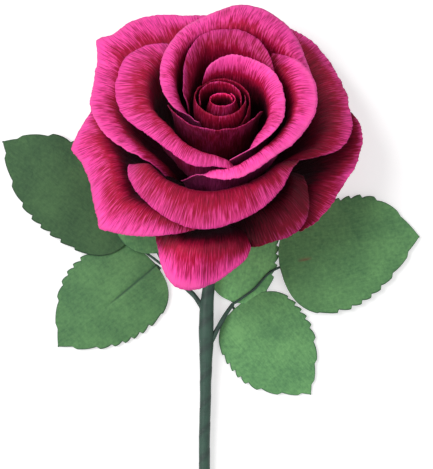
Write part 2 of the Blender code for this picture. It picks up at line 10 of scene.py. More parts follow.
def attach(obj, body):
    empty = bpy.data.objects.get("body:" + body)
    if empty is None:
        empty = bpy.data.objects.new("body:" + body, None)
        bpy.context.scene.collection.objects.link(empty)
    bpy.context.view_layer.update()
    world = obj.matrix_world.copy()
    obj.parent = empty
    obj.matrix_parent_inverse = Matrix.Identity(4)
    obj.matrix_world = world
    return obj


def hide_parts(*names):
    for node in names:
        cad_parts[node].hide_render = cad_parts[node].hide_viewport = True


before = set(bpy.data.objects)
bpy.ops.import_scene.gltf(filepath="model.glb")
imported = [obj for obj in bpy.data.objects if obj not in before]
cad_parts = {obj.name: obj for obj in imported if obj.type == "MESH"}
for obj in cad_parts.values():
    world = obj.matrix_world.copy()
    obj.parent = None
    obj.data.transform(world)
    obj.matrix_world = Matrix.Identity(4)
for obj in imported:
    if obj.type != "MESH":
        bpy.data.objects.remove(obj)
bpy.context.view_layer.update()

bl_info = {
    "name": "Crepe Paper Rose",
    "version": (1, 0, 0),
    "blender": (4, 5, 0),
    "location": "3D View > Sidebar > Paper Rose",
    "description": "Dresses the packed rose in crepe petals, cut paper leaves and wound tape",
    "category": "Add Mesh",
}

MM = 0.001

# The bloom's own axes: where its foot stands, in millimetres, and how far it leans away
BLOOM_FOOT = (2.40876, 65.49478, 9.77627)
BLOOM_TILT = 40.0
# The leaves, twigs and stem are placed from the point under the bloom's foot
SPRAY_ORIGIN = (2.40876, 65.49478, -0.12373)

# The core that the petals are glued round, in millimetres along the bloom's axis
CORE_TOP = 10.5
CORE_TOP_RADIUS = 1.5
CORE_WAIST_RADIUS = 5.4
CORE_FOOT = -4.6
CORE_FOOT_RADIUS = 2.4
CORE_RIM_DROP = 1.2
PETAL_ROW_STEP = 1.05
GLUE_ROOM = 0.5
PETAL_ROW_LENGTH = 1.3
# A petal that reaches the table lies this high on it
TABLE_CLEAR = 0.3

# Calyx: how far the sepals and the notches between them reach
SEPAL_COUNT = 5
SEPAL_REACH = 11.5
SEPAL_NOTCH_REACH = 7.6
SEPAL_RISE = 0.4
SEPAL_POINT = 1.5
CALYX_CREASE = 0.08
CALYX_FINE = (200, 8, 14)

# Stem, twigs and leaf wires, with their mesh's steps along and around
STEM_BORE_RADIUS = 1.7
STEM_TAPE_RADIUS = 2.25
STEM_JOINT_SWELL = 0.75
STEM_JOINT_PLACE = -59.0
STEM_JOINT_SPREAD = 15.0
STEM_NECK_HEIGHTS = (-6.4, -7.2)
STEM_FINE = (420, 40)
TWIG_RADII = (1.15, 0.8)
LEAF_WIRE_RADIUS = 0.5
LEAF_WIRE_DROP = 1.0
LEAF_WIRE_SHARES = (0.0, 0.2, 0.4, 0.6)
ROD_FINE = (90, 20)
# Tape: a thin rod's radius and its share of the step, creases, and how soon a lap opens
THIN_ROD_RADIUS = 1.0
THIN_ROD_STEP = 0.4
TAPE_CREASE = 0.1
LAP_SHARPNESS = 5.0

# How open to light from above a point is, painted into the petals' colour as shade: the middle way up,
# leaning towards the key lamp, the cone's half angle, its rays, how far they look in millimetres, the mesh
# steps between points, the open shares where a petal's painted shade is darkest and where it is gone, leaving
# the petal as bright as its tone, how fast it goes, and how bright the painted shade leaves its darkest
# outside
OPEN_AXIS = (-0.35, 0.2, 0.9)
OPEN_ANGLE = 66.0
OPEN_RAYS = 32
OPEN_REACH = 70.0
OPEN_STEP = 3
OPEN_RANGE = (0.18, 0.78)
OPEN_DEPTH = 1.15
OUTSIDE_DARKEST_PAINTED_SHADE = 0.3

# How far up the colour ramp from heart to rim a petal gets, before its own stretch: outside at the base and
# at the rim, and inside at the rim in the dark, with what full light adds, so that inside the colour moves
# down the ramp as painted shade where little light reaches
OUTSIDE_REACH = 0.7
RIM_REACH = 0.9
INSIDE_REACH_WITH_SHADE = (0.6, 0.3)

# Waves of a petal's sheet, in millimetres: folds along it, creases and ripples across
# and along it, the creases' share of a fold's height and a lip's usual length
FOLD_RUN = 45.0
CREASE_SIZE = (1.5, 25.0)
CREASE_SHARE = 0.45
RIPPLE_SIZE = (11.0, 30.0)
LIP_LENGTH = 6.0
# Frayed cut: fine and broad teeth across, the broad ones' share, and how much of the
# cut's shape the mesh row before it takes
FRAY_SIZES = (0.8, 3.7)
FRAY_BROAD_SHARE = 0.8
FRAY_ROW_SHARE = 0.35
# Each sheet's own stretch of the weave, so that no two look alike
PETAL_WEAVE_STEP = 400.0
LEAF_WEAVE_STEP = 90.0

# Leaves: teeth to a side, the share of a tooth that is its scallop, the scallop's curve,
# and where along the blade the teeth begin and over how much of it they grow
LEAF_TEETH = 10
TOOTH_SCALLOP = 0.9
TOOTH_CURVE = 1.8
TEETH_START = (0.12, 0.2)
# How the blade's width grows from its base, its narrowest half widths, the share of the
# length where the crease fades, the crease's depth and width, and the waves' height
LEAF_BASE_ROUNDNESS = (2.4, 0.42)
LEAF_BASE_HALF_WIDTH = 0.9
LEAF_TIP_HALF_WIDTH = 0.35
LEAF_CREASE_FADE = 0.35
LEAF_CREASE_DEPTH = 0.6
LEAF_CREASE_WIDTH = 0.6
LEAF_WAVE = 0.18
# A stain in the paper: leaf, first and last share of its length, how far off the midrib
LEAF_STAIN = ("leaf_right_tip", 0.125, 0.235, 1.0)
LEAF_STAIN_WIDTH = 0.45
LEAF_FINE = (224, 24)

# Stage, in metres: the camera's height, the plane where the picture is this wide, the
# picture's middle, the floor's half width and height; then how white the floor glows,
# the camera's sensor in millimetres, the world's light and the lamps
CAMERA_HEIGHT = 2.0
VIEW_PLANE = 0.03
VIEW_WIDTH = 433 * 0.0004
VIEW_CENTRE = (0.00221, 0.04449)
FLOOR_REACH = 2.5
FLOOR_HEIGHT = -0.0002
FLOOR_GLOW = 0.5
SENSOR_WIDTH = 36.0
WORLD_LEVEL = 0.42
LAMP_AIM = (0.0, 0.04, 0.02)
LAMPS = [
    ("key_lamp", (-1.15, 0.55, 1.55), 1.3, 27.0),
    ("fill_lamp", (0.9, 0.0, 1.6), 1.2, 4.5),
]

# How each family of petals is shaped: the belly's share of the crest's radius,
# and the share of the petal's turn that its base keeps
PETAL_FAMILIES = {
    "bud": {"belly": 0.70, "base_turn": 0.75},
    "inner": {"belly": 0.78, "base_turn": 0.48},
    "middle": {"belly": 0.74, "base_turn": 0.45},
    "front": {"belly": 0.68, "base_turn": 0.55},
    "outer": {"belly": 0.54, "base_turn": 0.55},
}
BELLY_HEIGHT_SHARE = 0.45
FAN_OPEN_SHARE = 0.62

# Petals from the inside out: name, family, row on the core, dye and stations. A dye is how light the petal
# is, partly its own dye and partly painted light and shade; how far up the colour ramp it reaches, partly the
# stretch of its rim, as a stretched rim is pinker, and partly painted shade; and how bright painted shade
# leaves its deepest inside beside its rim. A station is (angle, crest radius, crest height, rim radius, rim
# height) round the bloom's axis, with 0 at +X, 90 away.
PETALS = [
    ("bud_petal_back", "bud", 1, (1.1, 0.85, 0.4), [
        (-16, 10.2, 48, 9.8, 51.5), (33, 9.5, 48, 9.2, 51.8), (65, 9, 48, 8.8, 51.8),
        (95, 8.4, 48, 8.2, 51.8), (140, 7.8, 48, 7.6, 51.5), (200, 7.3, 47.5, 7, 51)]),
    ("bud_petal_front", "bud", 2, (1.0, 0.82, 0.4), [
        (104, 9.5, 45.5, 9.5, 48), (130, 9.4, 47.2, 9.2, 50.3), (158, 9.2, 48, 8.9, 51.2),
        (215, 8.8, 48, 8.3, 51.5), (253, 9.9, 48.5, 9.4, 52), (281, 10.8, 48.5, 10.3, 52),
        (308, 11.6, 48.5, 11.1, 52), (333, 11.9, 48.5, 11.5, 51.8), (372, 11.5, 47.5, 11.2, 50.8)]),
    ("bud_petal_outer", "bud", 3, (1.0, 0.83, 0.4), [
        (-44, 13, 43, 13, 45.5), (-20, 13.1, 46, 12.9, 48.8), (5, 13, 47, 12.8, 50),
        (40, 12.4, 47.5, 12.2, 50.5), (85, 11.1, 47.5, 10.9, 50.5), (118, 10.8, 46, 10.6, 49),
        (138, 10.7, 43, 10.7, 45.5)]),
    ("inner_petal_front", "inner", 4, (1.0, 0.88, 0.4), [
        (164, 18.8, 39.5, 19.8, 41.5), (178, 18.4, 44, 19.4, 46.4), (208, 16.6, 47.5, 17.3, 49.5),
        (235, 15.5, 48, 16.2, 50), (266, 14.9, 48, 15.5, 50), (295, 15.4, 48, 16, 50),
        (324, 16.2, 47.5, 16.9, 49.5), (346, 17, 46, 17.8, 48), (358, 17.6, 42, 18.4, 44)]),
    ("inner_petal_right", "inner", 4, (1.3, 1.0, 0.4), [
        (-79, 26, 42.5, 26.6, 44), (-71, 26.6, 45.4, 27.6, 47), (-59, 26.2, 47.2, 27.7, 48.8),
        (-48, 25.2, 48.6, 27.8, 49.6), (-30, 24.5, 49.8, 28, 50.3), (1, 24, 50.5, 26.8, 51.2),
        (29, 23.3, 51.2, 26, 53), (50, 21.6, 51.5, 23.4, 54), (82, 18.8, 51.5, 20.2, 53.8),
        (98, 16.2, 50, 17.2, 52.2), (108, 14.8, 47.6, 15.5, 49.6), (114, 14, 44, 14.4, 45.6)]),
    ("inner_petal_top", "inner", 5, (0.9, 0.92, 1.0), [
        (26, 25.8, 43.5, 27, 44.5), (36, 26.9, 48.5, 28.3, 49.6), (50, 29.4, 52.5, 31, 53.5),
        (64, 31, 54.8, 33, 55.5), (85, 30.6, 55.5, 32.6, 56.3), (101, 28.6, 55, 30.4, 56),
        (122, 21.2, 54, 22.7, 55.3), (147, 14.9, 52, 15.9, 54), (186, 12.3, 50.5, 12.9, 52.5)]),
    ("middle_petal_top", "middle", 6, (1.15, 1.0, 1.0), [
        (28, 41.5, 40.5, 43.3, 39.5), (38, 42.3, 47, 44.6, 46), (50, 41.5, 52.5, 46.5, 51.5),
        (72, 39, 57, 47.5, 56), (97, 35.4, 57.2, 40.2, 56), (125, 29, 56.6, 32, 55.5),
        (160, 20.6, 53, 24, 52.5), (187, 16.2, 49.5, 18.5, 50.2), (206, 13.1, 47.5, 14.2, 49),
        (234, 11.1, 46, 11.8, 48)]),
    ("middle_petal_right", "middle", 6, (1.35, 1.02, 0.4), [
        (-118, 29.4, 31, 30.2, 32), (-104, 30, 38, 31, 39.6), (-92, 31.8, 42, 33.6, 41.4),
        (-76, 32.6, 44.8, 35.8, 43.5), (-51, 30.6, 46.2, 33.9, 45), (-25, 31, 46.6, 35.9, 45),
        (-1, 32.5, 47, 39.3, 45.2), (17, 33, 47.6, 41, 46), (37, 33, 47.8, 39.7, 48),
        (50, 31.7, 46.8, 34, 49)]),
    ("middle_petal_left", "middle", 7, (1.05, 0.97, 1.0), [
        (112, 33, 41, 35, 42.5), (124, 33.8, 47, 38.2, 48.6), (138, 33.5, 48.2, 44, 47.2),
        (160, 31, 48.2, 42.7, 45.6), (181, 28, 47.6, 38.4, 44.4), (205, 24.2, 47, 30.6, 44.4),
        (230, 24.5, 46.6, 28.8, 44.6), (253, 26, 46, 30.6, 44.2), (268, 26.8, 45, 29.4, 43.8),
        (278, 28.2, 43.4, 29.6, 42.8), (285, 29.2, 40.8, 30, 41)]),
    ("front_petal", "front", 8, (0.97, 0.94, 0.5), [
        (203, 34.6, 26.5, 38, 28.4), (209, 35.8, 31, 40.4, 31), (217, 36.6, 36, 43.4, 32.2),
        (236, 38, 37.2, 47.4, 32), (262, 38.4, 37.6, 52, 32), (284, 36.6, 37.6, 48.2, 33.5),
        (305, 35.4, 37.5, 42.8, 35.2), (322, 34.8, 36, 38, 35.8), (334, 34.6, 31, 36.2, 32)]),
    ("outer_petal_top_left", "outer", 9, (1.2, 1.01, 0.7), [
        (88, 47.6, 36.5, 57.6, 37), (102, 49.4, 35.8, 59.5, 36.2), (112, 52.4, 35.5, 63.4, 36),
        (122, 54.4, 35.2, 65.8, 35), (131, 54.2, 35, 65.4, 34.4), (136, 53.8, 35, 67.7, 33.8),
        (140, 52.4, 34.8, 63.2, 33.6), (150, 47.8, 34, 56.8, 33), (165, 44.5, 33.5, 52.6, 32),
        (180, 39.6, 33.2, 46, 32), (194, 34.4, 32.4, 38.6, 32), (204, 30.8, 31.2, 33.6, 31.6),
        (213, 28.4, 29.4, 30.2, 30.4), (224, 27.2, 26, 28.4, 27)]),
    ("outer_petal_top_right", "outer", 9, (1.14, 0.97, 0.5), [
        (-22, 32, 28, 35.2, 29.5), (-15, 37, 28.6, 41.7, 28.2), (-8, 42, 29.2, 48.8, 28),
        (1, 45, 29.8, 53.2, 28), (18, 47, 30.4, 55.8, 28.4), (34, 49, 31.5, 58.2, 29.4),
        (50, 51, 33.4, 61, 32.2), (61, 51, 35, 60.9, 34.2), (72, 48, 36, 57, 37)]),
    ("outer_petal_left", "outer", 10, (1.15, 1.01, 0.5), [
        (157, 44.6, 26, 52.4, 25), (167, 45.4, 26.2, 55, 22.5), (175, 46, 25.9, 57.2, 20.4),
        (179, 46, 25.7, 58.4, 19.6), (183, 45.4, 25.5, 56.2, 19.2), (192, 44.4, 25, 53.2, 18),
        (205, 45, 24.5, 54.5, 16.6), (215, 47, 24.1, 57.8, 16), (219, 47.6, 24, 60, 16),
        (223, 47, 24.2, 58.2, 16.4), (232, 45.5, 24.8, 54.8, 18), (246, 41, 24.8, 48.2, 19.4),
        (259, 36.5, 23.2, 42.5, 20.4)]),
    ("outer_petal_bottom", "outer", 11, (1.35, 1.04, 0.2), [
        (234, 35, 8.5, 42, 7.5), (240, 39.6, 11, 47, 7), (246, 44.4, 13.6, 53.2, 4),
        (252, 47.6, 15, 57.4, 1.6), (260, 47.6, 15.4, 57.4, 0.4), (268, 45.4, 15, 54, 1),
        (275, 43.6, 13.6, 51.2, 3.5), (281, 41.6, 11.6, 48.4, 5.4), (285, 39.6, 9.6, 46.2, 6.4),
        (288.6, 36.8, 8, 42.9, 8)]),
    ("outer_petal_right", "outer", 11, (1.08, 0.97, 0.3), [
        (-46, 38, 11, 47.5, 9.5), (-37, 41.5, 13, 50, 11.5), (-27, 43, 14.5, 51.4, 13.5),
        (-18, 44, 16, 52.5, 16), (-10, 46, 17, 55, 18), (-2, 47.5, 18, 57.2, 19.5),
        (6, 48, 19.5, 58.8, 22), (14, 47, 21, 57.7, 23.5), (22, 45, 21, 54.5, 24.5)]),
    ("outer_petal_lower_right", "outer", 10, (0.66, 0.94, 0.2), [
        (281, 27, 6.5, 36, 2.6), (291, 31, 11.4, 41.8, 6), (299, 35, 17, 45.6, 10),
        (306, 37.5, 20, 49.2, 13.5), (314, 38.5, 21.5, 49.6, 16), (323, 37.3, 21.8, 45.8, 18),
        (332, 34.6, 21.2, 40.8, 19.2), (339, 32.6, 19.6, 36.8, 19.4)]),
]

# Bud roll: a strip wound a little more than once round its own centre, with a
# belly under its mouth and flatter from front to back
ROLL_CENTRE = (1.9, 0.7)
ROLL_TURN = 410.0
ROLL_MOUTH_RADIUS = 4.1
ROLL_MOUTH_PITCH = 1.2
ROLL_BELLY_RADIUS = 5.5
ROLL_BELLY_PITCH = 1.1
ROLL_BELLY_SHARE = 0.84
ROLL_FLATNESS = 0.26
ROLL_BASE_RADIUS = 0.9
ROLL_BASE_PITCH = 0.75
ROLL_BASE_HEIGHT = 11.2
ROLL_TOP_HEIGHT = 50.0
ROLL_CREASE = 0.12
ROLL_FRAY = 0.25
# The bud roll's dye, as for a petal: its tone, partly painted light, its stretch, and how bright painted
# shade leaves its deepest inside
ROLL_DYE_AND_SHADE = (2.2, 0.86, 0.3)
ROLL_FINE = (260, 44)

# The stem's middle line below the bend, as (x, y, z) from the bloom's foot
STEM_LINE = [
    (0.0, -9.0, 3.9), (-0.6, -18.0, 4.3), (-2.0, -31.0, 4.8), (-4.1, -50.0, 4.9),
    (-4.4, -69.0, 4.6), (-4.7, -88.0, 4.0), (-5.1, -107.0, 3.3), (-4.8, -130.0, 2.6),
    (-4.4, -160.0, 2.3), (-4.8, -200.0, 2.3)]

# Each leaf: base point and height, direction, length, rise of the midrib's middle and tip, and edge drop.
# Left and right of the midrib: the widest half width, its share of the length, and how full the blade stays
# from there to its tip. Then how light the leaf is, partly its paper and partly painted light and shade, how
# much of the midrib's crease shows, and its wire's way to the blade.
LEAF_KEYS = ("base", "height", "direction", "length", "mid", "tip", "drop", "left", "right",
             "tone", "crease", "wire")
LEAVES = {name: dict(zip(LEAF_KEYS, values)) for name, *values in [
    ("leaf_left_tip", (-36.0, -23.4), 2.9, 141.8, 65.0, 1.0, -2.0, 1.2,
     (18.0, 0.45, 2.15), (19.0, 0.52, 2.6), 0.48, 0.0,
     [(-22.7, -33.0, 2.4), (-29.0, -28.2, 2.0)]),
    ("leaf_left_lower", (-24.6, -33.6), 2.0, -140.5, 51.8, 1.2, -1.5, 1.6,
     (17.9, 0.36, 2.2), (22.2, 0.42, 2.3), 0.9, 1.0,
     [(-22.9, -35.0, 1.2)]),
    ("leaf_left_hidden", (-24.0, -28.4), 4.6, 99.0, 48.0, 2.6, 3.6, 0.9,
     (16.5, 0.42, 2.2), (16.5, 0.42, 2.2), 1.1, 0.3,
     [(-21.8, -32.6, 3.5)]),
    ("leaf_right_tip", (25.6, -34.2), 3.6, 12.3, 57.9, 1.0, -2.2, 1.4,
     (22.4, 0.52, 2.9), (23.2, 0.35, 1.9), 1.1, 0.2,
     [(6.2, -49.4, 3.0), (15.0, -43.2, 2.9), (21.8, -36.2, 2.6)]),
    ("leaf_right_lower", (7.0, -51.2), 1.9, -48.2, 46.6, 0.9, -1.2, 1.3,
     (20.4, 0.34, 2.4), (17.5, 0.45, 2.0), 1.35, 0.0,
     [(6.2, -50.0, 1.5)]),
    ("leaf_right_back", (6.6, -48.3), 1.9, 74.0, 45.0, 0.6, -0.6, 1.0,
     (14.0, 0.4, 2.2), (13.2, 0.36, 2.2), 2.0, 0.1,
     [(8.0, -48.6, 0.9)]),
]}

# Taped twigs from the stem to each spray's fork
TWIGS = {
    "twig_left": [(-4.8, -54.8, 4.6), (-6.4, -50.0, 4.6), (-8.7, -46.4, 4.2), (-12.4, -42.8, 3.6),
                  (-21.6, -34.4, 2.3)],
    "twig_right": [(-3.6, -66.4, 4.7), (-1.2, -62.0, 4.6), (1.8, -56.4, 3.8), (4.5, -51.9, 3.0),
                   (6.5, -49.2, 2.6)],
}

def linear(code):
    """An sRGB hex colour as linear red, green and blue."""
    shares = [int(code[i:i + 2], 16) / 255 for i in (0, 2, 4)]
    return tuple(c / 12.92 if c <= 0.04045 else ((c + 0.055) / 1.055) ** 2.4 for c in shares)


def length(name, description, default, low, high):
    """A setting that is a length in metres."""
    return FloatProperty(name=name, description=description, default=default, min=low, max=high,
                         unit="LENGTH")


def colour(name, description, code):
    """A setting that is a colour."""
    return FloatVectorProperty(name=name, description=description, default=linear(code),
                               min=0.0, max=1.0, size=3, subtype="COLOR")


class RoseSizes(bpy.types.PropertyGroup):
    """Sizes of the paper, its crepe and the cut and wound details."""
    petal_paper: length("Petal Paper", "Thickness of the petals' crepe paper", 0.0003, 0.0001, 0.0005)
    column_width: length("Mesh Width", "Width of one column of a petal's mesh", 0.0006, 0.0003, 0.003)
    crepe_pitch: length("Crepe Pitch", "From one crepe ridge to the next", 0.0011, 0.0003, 0.003)
    crepe_depth: length("Crepe Depth", "Height of the crepe ridges", 0.0004, 0.0, 0.001)
    fold_pitch: length("Fold Pitch", "From one soft fold of a petal to the next", 0.0034, 0.001, 0.02)
    fold_depth: length("Fold Depth", "Height of the soft folds at the rim", 0.00028, 0.0, 0.001)
    rim_wave: length("Rim Wave", "How far the stretched rims wave in and out", 0.0006, 0.0, 0.002)
    rim_fray: length("Rim Fray", "How ragged the cut along the crepe is", 0.0004, 0.0, 0.001)
    leaf_paper: length("Leaf Paper", "Thickness of the leaves' doubled paper", 0.0004, 0.0002, 0.0006)
    tooth_depth: length("Tooth Depth", "How deep the teeth of a leaf are cut", 0.0013, 0.0, 0.002)
    tape_pitch: length("Tape Pitch", "Length of stem that one turn covers", 0.011, 0.004, 0.03)
    tape_step: length("Tape Step", "Step where one turn laps over the last", 0.0001, 0.0, 0.0006)


class RoseColours(bpy.types.PropertyGroup):
    """Colours of the papers, the tape, the wires and the floor."""
    petal_rim: colour("Petal Rim", "Crepe paper where it is stretched thin", "EF46A0")
    petal_face: colour("Petal Face", "Crepe paper over most of a petal", "AC0F3A")
    # Painted highlight on the crepe ridge tops and along the cut
    petal_ridge_highlight: colour("Petal Glint", "Worn tops of the crepe ridges", "EC5AA0")
    # Darkest colour of the ramp, at a petal's base: partly the unstretched paper's deeper dye and partly
    # painted shade in the cup
    petal_heart_dye_and_shade: colour("Petal Heart", "Crepe paper at a petal's glued base", "4A0A1D")
    leaf_light: colour("Leaf Light", "Pale mottles of the leaf paper", "66995F")
    leaf_dark: colour("Leaf Dark", "Dark mottles of the leaf paper", "46744A")
    # Darker colour along the cut edge, and painted shade in the midrib crease
    leaf_edge: colour("Leaf Edge", "Cut edge and creases of the leaf paper", "2C4F3A")
    leaf_stain: colour("Leaf Stain", "Where the bloom's dye has run into a leaf", "7E4A3E")
    tape_light: colour("Tape Light", "Stretched face of the floral tape", "2B4C3E")
    tape_dark: colour("Tape Dark", "Laps and creases of the floral tape", "1C352D")
    steel: colour("Steel", "Bare end of the stem's wire", "A8A9A6")
    core: colour("Core", "Pressed paper pulp of the bloom's core", "D8CFB8")
    floor: colour("Floor", "Matt studio floor", "DCDCDC")


# Shape functions that the part's solids are made with too

def smooth_slopes(knots, values):
    """Slopes for a smooth curve through points that are unevenly spaced."""
    steps = [b - a for a, b in zip(knots, knots[1:])]
    rises = [[(q - p) / step for p, q in zip(a, b)]
             for a, b, step in zip(values, values[1:], steps)]
    slopes = [rises[0]]
    for i in range(1, len(values) - 1):
        near, far = steps[i - 1], steps[i]
        slopes.append([(far * a + near * b) / (near + far)
                       for a, b in zip(rises[i - 1], rises[i])])
    slopes.append(rises[-1])
    return slopes


def smooth_at(knots, values, slopes, place):
    """The smooth curve's point at one place."""
    i = 0
    while i < len(knots) - 2 and place > knots[i + 1]:
        i += 1
    step = knots[i + 1] - knots[i]
    t = (place - knots[i]) / step
    a = 2 * t ** 3 - 3 * t ** 2 + 1
    b = t ** 3 - 2 * t ** 2 + t
    c = 3 * t ** 2 - 2 * t ** 3
    d = t ** 3 - t ** 2
    return [a * p + b * step * m + c * q + d * step * n for p, m, q, n in zip(
        values[i], slopes[i], values[i + 1], slopes[i + 1])]


def smooth_line(points, count):
    """Count + 1 points, evenly spaced, on a smooth line through the points."""
    knots = [0.0]
    for a, b in zip(points, points[1:]):
        knots.append(knots[-1] + math.dist(a, b))
    slopes = smooth_slopes(knots, points)
    return [smooth_at(knots, points, slopes, knots[-1] * i / count) for i in range(count + 1)]


def ease(value):
    """A smooth step from 0 to 1."""
    value = min(1.0, max(0.0, value))
    return value * value * (3 - 2 * value)


def petal_base(row):
    """Where a row of petals is glued to the core: radius and height."""
    height = max(CORE_TOP - PETAL_ROW_STEP * (row - 0.5), CORE_FOOT)
    radius = CORE_WAIST_RADIUS + height / CORE_TOP * (CORE_TOP_RADIUS - CORE_WAIST_RADIUS)
    return radius + GLUE_ROOM, height


def petal_grid(stations, family, row, columns, rows):
    """A petal's sheet from its glued base out to its rim, in the bloom's millimetres."""
    shape = PETAL_FAMILIES[family]
    knots = [station[0] for station in stations]
    slopes = smooth_slopes(knots, stations)
    middle = (knots[0] + knots[-1]) / 2
    base_radius, base_height = petal_base(row)
    grid = np.zeros((rows + 1, columns + 1, 3))
    for j in range(columns + 1):
        place = knots[0] + (knots[-1] - knots[0]) * j / columns
        angle, crest_radius, crest_height, rim_radius, rim_height = smooth_at(
            knots, stations, slopes, place)
        belly_radius = base_radius + shape["belly"] * (crest_radius - base_radius)
        belly_height = base_height + BELLY_HEIGHT_SHARE * (crest_height - base_height)
        profile = smooth_line([
            (base_radius, base_height), (belly_radius, belly_height),
            (crest_radius, crest_height), (rim_radius, rim_height)], rows)
        for i, (radius, height) in enumerate(profile):
            fan = ease(i / rows / FAN_OPEN_SHARE)
            turn = middle + (angle - middle) * (shape["base_turn"] + (1 - shape["base_turn"]) * fan)
            grid[i, j] = (radius * math.cos(math.radians(turn)),
                          radius * math.sin(math.radians(turn)), height)
    return grid


def bloom_to_world(grid):
    """Points of the bloom's own axes, moved to where the bloom lies."""
    turn = np.array(Matrix.Rotation(-math.radians(BLOOM_TILT), 3, "X"))
    return grid @ turn.T + np.array(BLOOM_FOOT)


# Sheets, rods and materials

def add_object(name, data):
    """A new object in the scene."""
    made = bpy.data.objects.new(name, data)
    bpy.context.scene.collection.objects.link(made)
    return made


def hold_values(mesh, name, values):
    """Keep a number or a vector for each point of a mesh, for its material to read."""
    values = np.asarray(values, dtype=np.float32)
    kind, slot = ("FLOAT_VECTOR", "vector") if values.ndim == 2 else ("FLOAT", "value")
    mesh.attributes.new(name, kind, "POINT").data.foreach_set(slot, values.reshape(-1))


def mesh_object(name, points, faces, weave):
    """A smooth piece from its points and faces, with each point's place in the weave."""
    mesh = bpy.data.meshes.new(name)
    mesh.from_pydata(points, [], faces)
    mesh.update()
    mesh.shade_smooth()
    hold_values(mesh, "weave", weave)
    return add_object(name, mesh)


def grid_normals(grid):
    """Unit normals of a grid of points."""
    normals = np.cross(np.gradient(grid, axis=1), np.gradient(grid, axis=0))
    return normals / np.maximum(np.linalg.norm(normals, axis=2, keepdims=True), 1e-9)


def grid_object(name, grid, weaves, thickness, closed=False, tone_and_shade=(1.0, 1.0)):
    """A paper sheet from a grid of points in millimetres.

    It has two faces: first the one that the grid's normals point to, then the other.
    For each face, the weaves hold its place in the weave, and the tone values how light it is, with any
    painted light and shade.
    """
    height, width = grid.shape[:2]
    count = height * width
    lift = grid_normals(grid) * thickness / MM / 2
    points = np.concatenate([(grid + lift).reshape(-1, 3), (grid - lift).reshape(-1, 3)]) * MM
    faces = []
    for j in range(width if closed else width - 1):
        beside = (j + 1) % width
        for i in range(0, count - width, width):
            faces.append((i + j, i + beside, i + beside + width, i + j + width))
            back = count + i
            faces.append((back + j + width, back + beside + width, back + beside, back + j))
        top = count - width
        faces.append((beside, j, count + j, count + beside))
        faces.append((top + j, top + beside, count + top + beside, count + top + j))
    if not closed:
        for i in range(0, count - width, width):
            right = i + width - 1
            faces.append((i, i + width, count + i + width, count + i))
            faces.append((right + width, right, count + right, count + right + width))
    made = mesh_object(name, points.tolist(), faces, np.concatenate(weaves).reshape(-1, 3))
    both = [(np.zeros((height, width)) + tone).reshape(-1) for tone in tone_and_shade]
    hold_values(made.data, "tone", np.concatenate(both))
    return made


def open_shares(grids):
    """How much light reaches each grid's points, from 0 for none to 1 for all.

    Each grid gets two sheets of shares: for light that comes to its outside along its
    normals, and for light that comes from above to its inside.
    """
    picks = [[np.unique(np.append(np.arange(0, size, OPEN_STEP), size - 1)) for size in grid.shape[:2]]
             for grid in grids]
    points, faces = [], []
    for grid, (rows, columns) in zip(grids, picks):
        start, width = len(points), len(columns)
        points += grid[np.ix_(rows, columns)].reshape(-1, 3).tolist()
        for i in range(len(rows) - 1):
            for j in range(width - 1):
                here = start + i * width + j
                faces.append((here, here + 1, here + width + 1, here + width))
    tree = BVHTree.FromPolygons(points, faces)
    rays = []
    for k in range(OPEN_RAYS):
        z = 1 - (k + 0.5) / OPEN_RAYS * (1 - math.cos(math.radians(OPEN_ANGLE)))
        turn = k * math.pi * (3 - math.sqrt(5))
        flat = math.sqrt(1 - z * z)
        rays.append(Vector((flat * math.cos(turn), flat * math.sin(turn), z)))
    above = [Vector((0, 0, 1)).rotation_difference(Vector(OPEN_AXIS)) @ ray for ray in rays]
    shares, at = [], 0
    for grid, (rows, columns) in zip(grids, picks):
        normals = grid_normals(grid)
        held = np.zeros((2, len(rows), len(columns)))
        for i, row in enumerate(rows):
            for j, column in enumerate(columns):
                spot = Vector(points[at])
                at += 1
                aim = Vector((0, 0, 1)).rotation_difference(Vector(normals[row, column]))
                for side, fan in enumerate(([aim @ ray for ray in rays[::2]], above)):
                    clear = [tree.ray_cast(spot + ray, ray, OPEN_REACH)[0] is None for ray in fan]
                    held[side, i, j] = sum(clear) / len(fan)
        sides = []
        for sheet in held:
            down = np.array([np.interp(np.arange(grid.shape[0]), rows, line) for line in sheet.T]).T
            sides.append(np.array([np.interp(np.arange(grid.shape[1]), columns, line) for line in down]))
        shares.append(sides)
    return shares


def noise_at(x, y, z=0.0):
    """Smooth noise between about -1 and 1."""
    return noise.noise(Vector((x, y, z)))


def dress(piece, surface, slot, *nodes):
    """Give a piece its material and its place in the frame."""
    piece.data.materials.clear()
    piece.data.materials.append(surface)
    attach(piece, "root")
    if nodes:
        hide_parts(*nodes)


def add_node(tree, kind, settings=None, inputs=None):
    """Add a node, set its properties, and set or link its inputs."""
    made = tree.nodes.new(kind)
    for name, value in (settings or {}).items():
        setattr(made, name, value)
    for name, value in (inputs or {}).items():
        if isinstance(value, bpy.types.NodeSocket):
            tree.links.new(value, made.inputs[name])
        else:
            made.inputs[name].default_value = value
    return made


def start_material(name, settings):
    """A new material's node tree and its shader, with the shader's plain values set."""
    made = bpy.data.materials.new(name)
    made.use_nodes = True
    shader = made.node_tree.nodes["Principled BSDF"]
    for socket, value in settings.items():
        shader.inputs[socket].default_value = value
    return made, made.node_tree, shader


def maths(tree, operation, *values):
    """One step of arithmetic on plain values."""
    return add_node(tree, "ShaderNodeMath", {"operation": operation}, dict(enumerate(values))).outputs[0]


def map_range(tree, value, low, high, to_low=0.0, to_high=1.0):
    """A value moved from one range to another, and held inside it."""
    return add_node(tree, "ShaderNodeMapRange", inputs={
        "Value": value, "From Min": low, "From Max": high,
        "To Min": to_low, "To Max": to_high}).outputs[0]


def multiplied(tree, vector, factors):
    """A place, multiplied by its own factor each way."""
    return add_node(tree, "ShaderNodeVectorMath", {"operation": "MULTIPLY"},
                    {0: vector, 1: factors}).outputs[0]


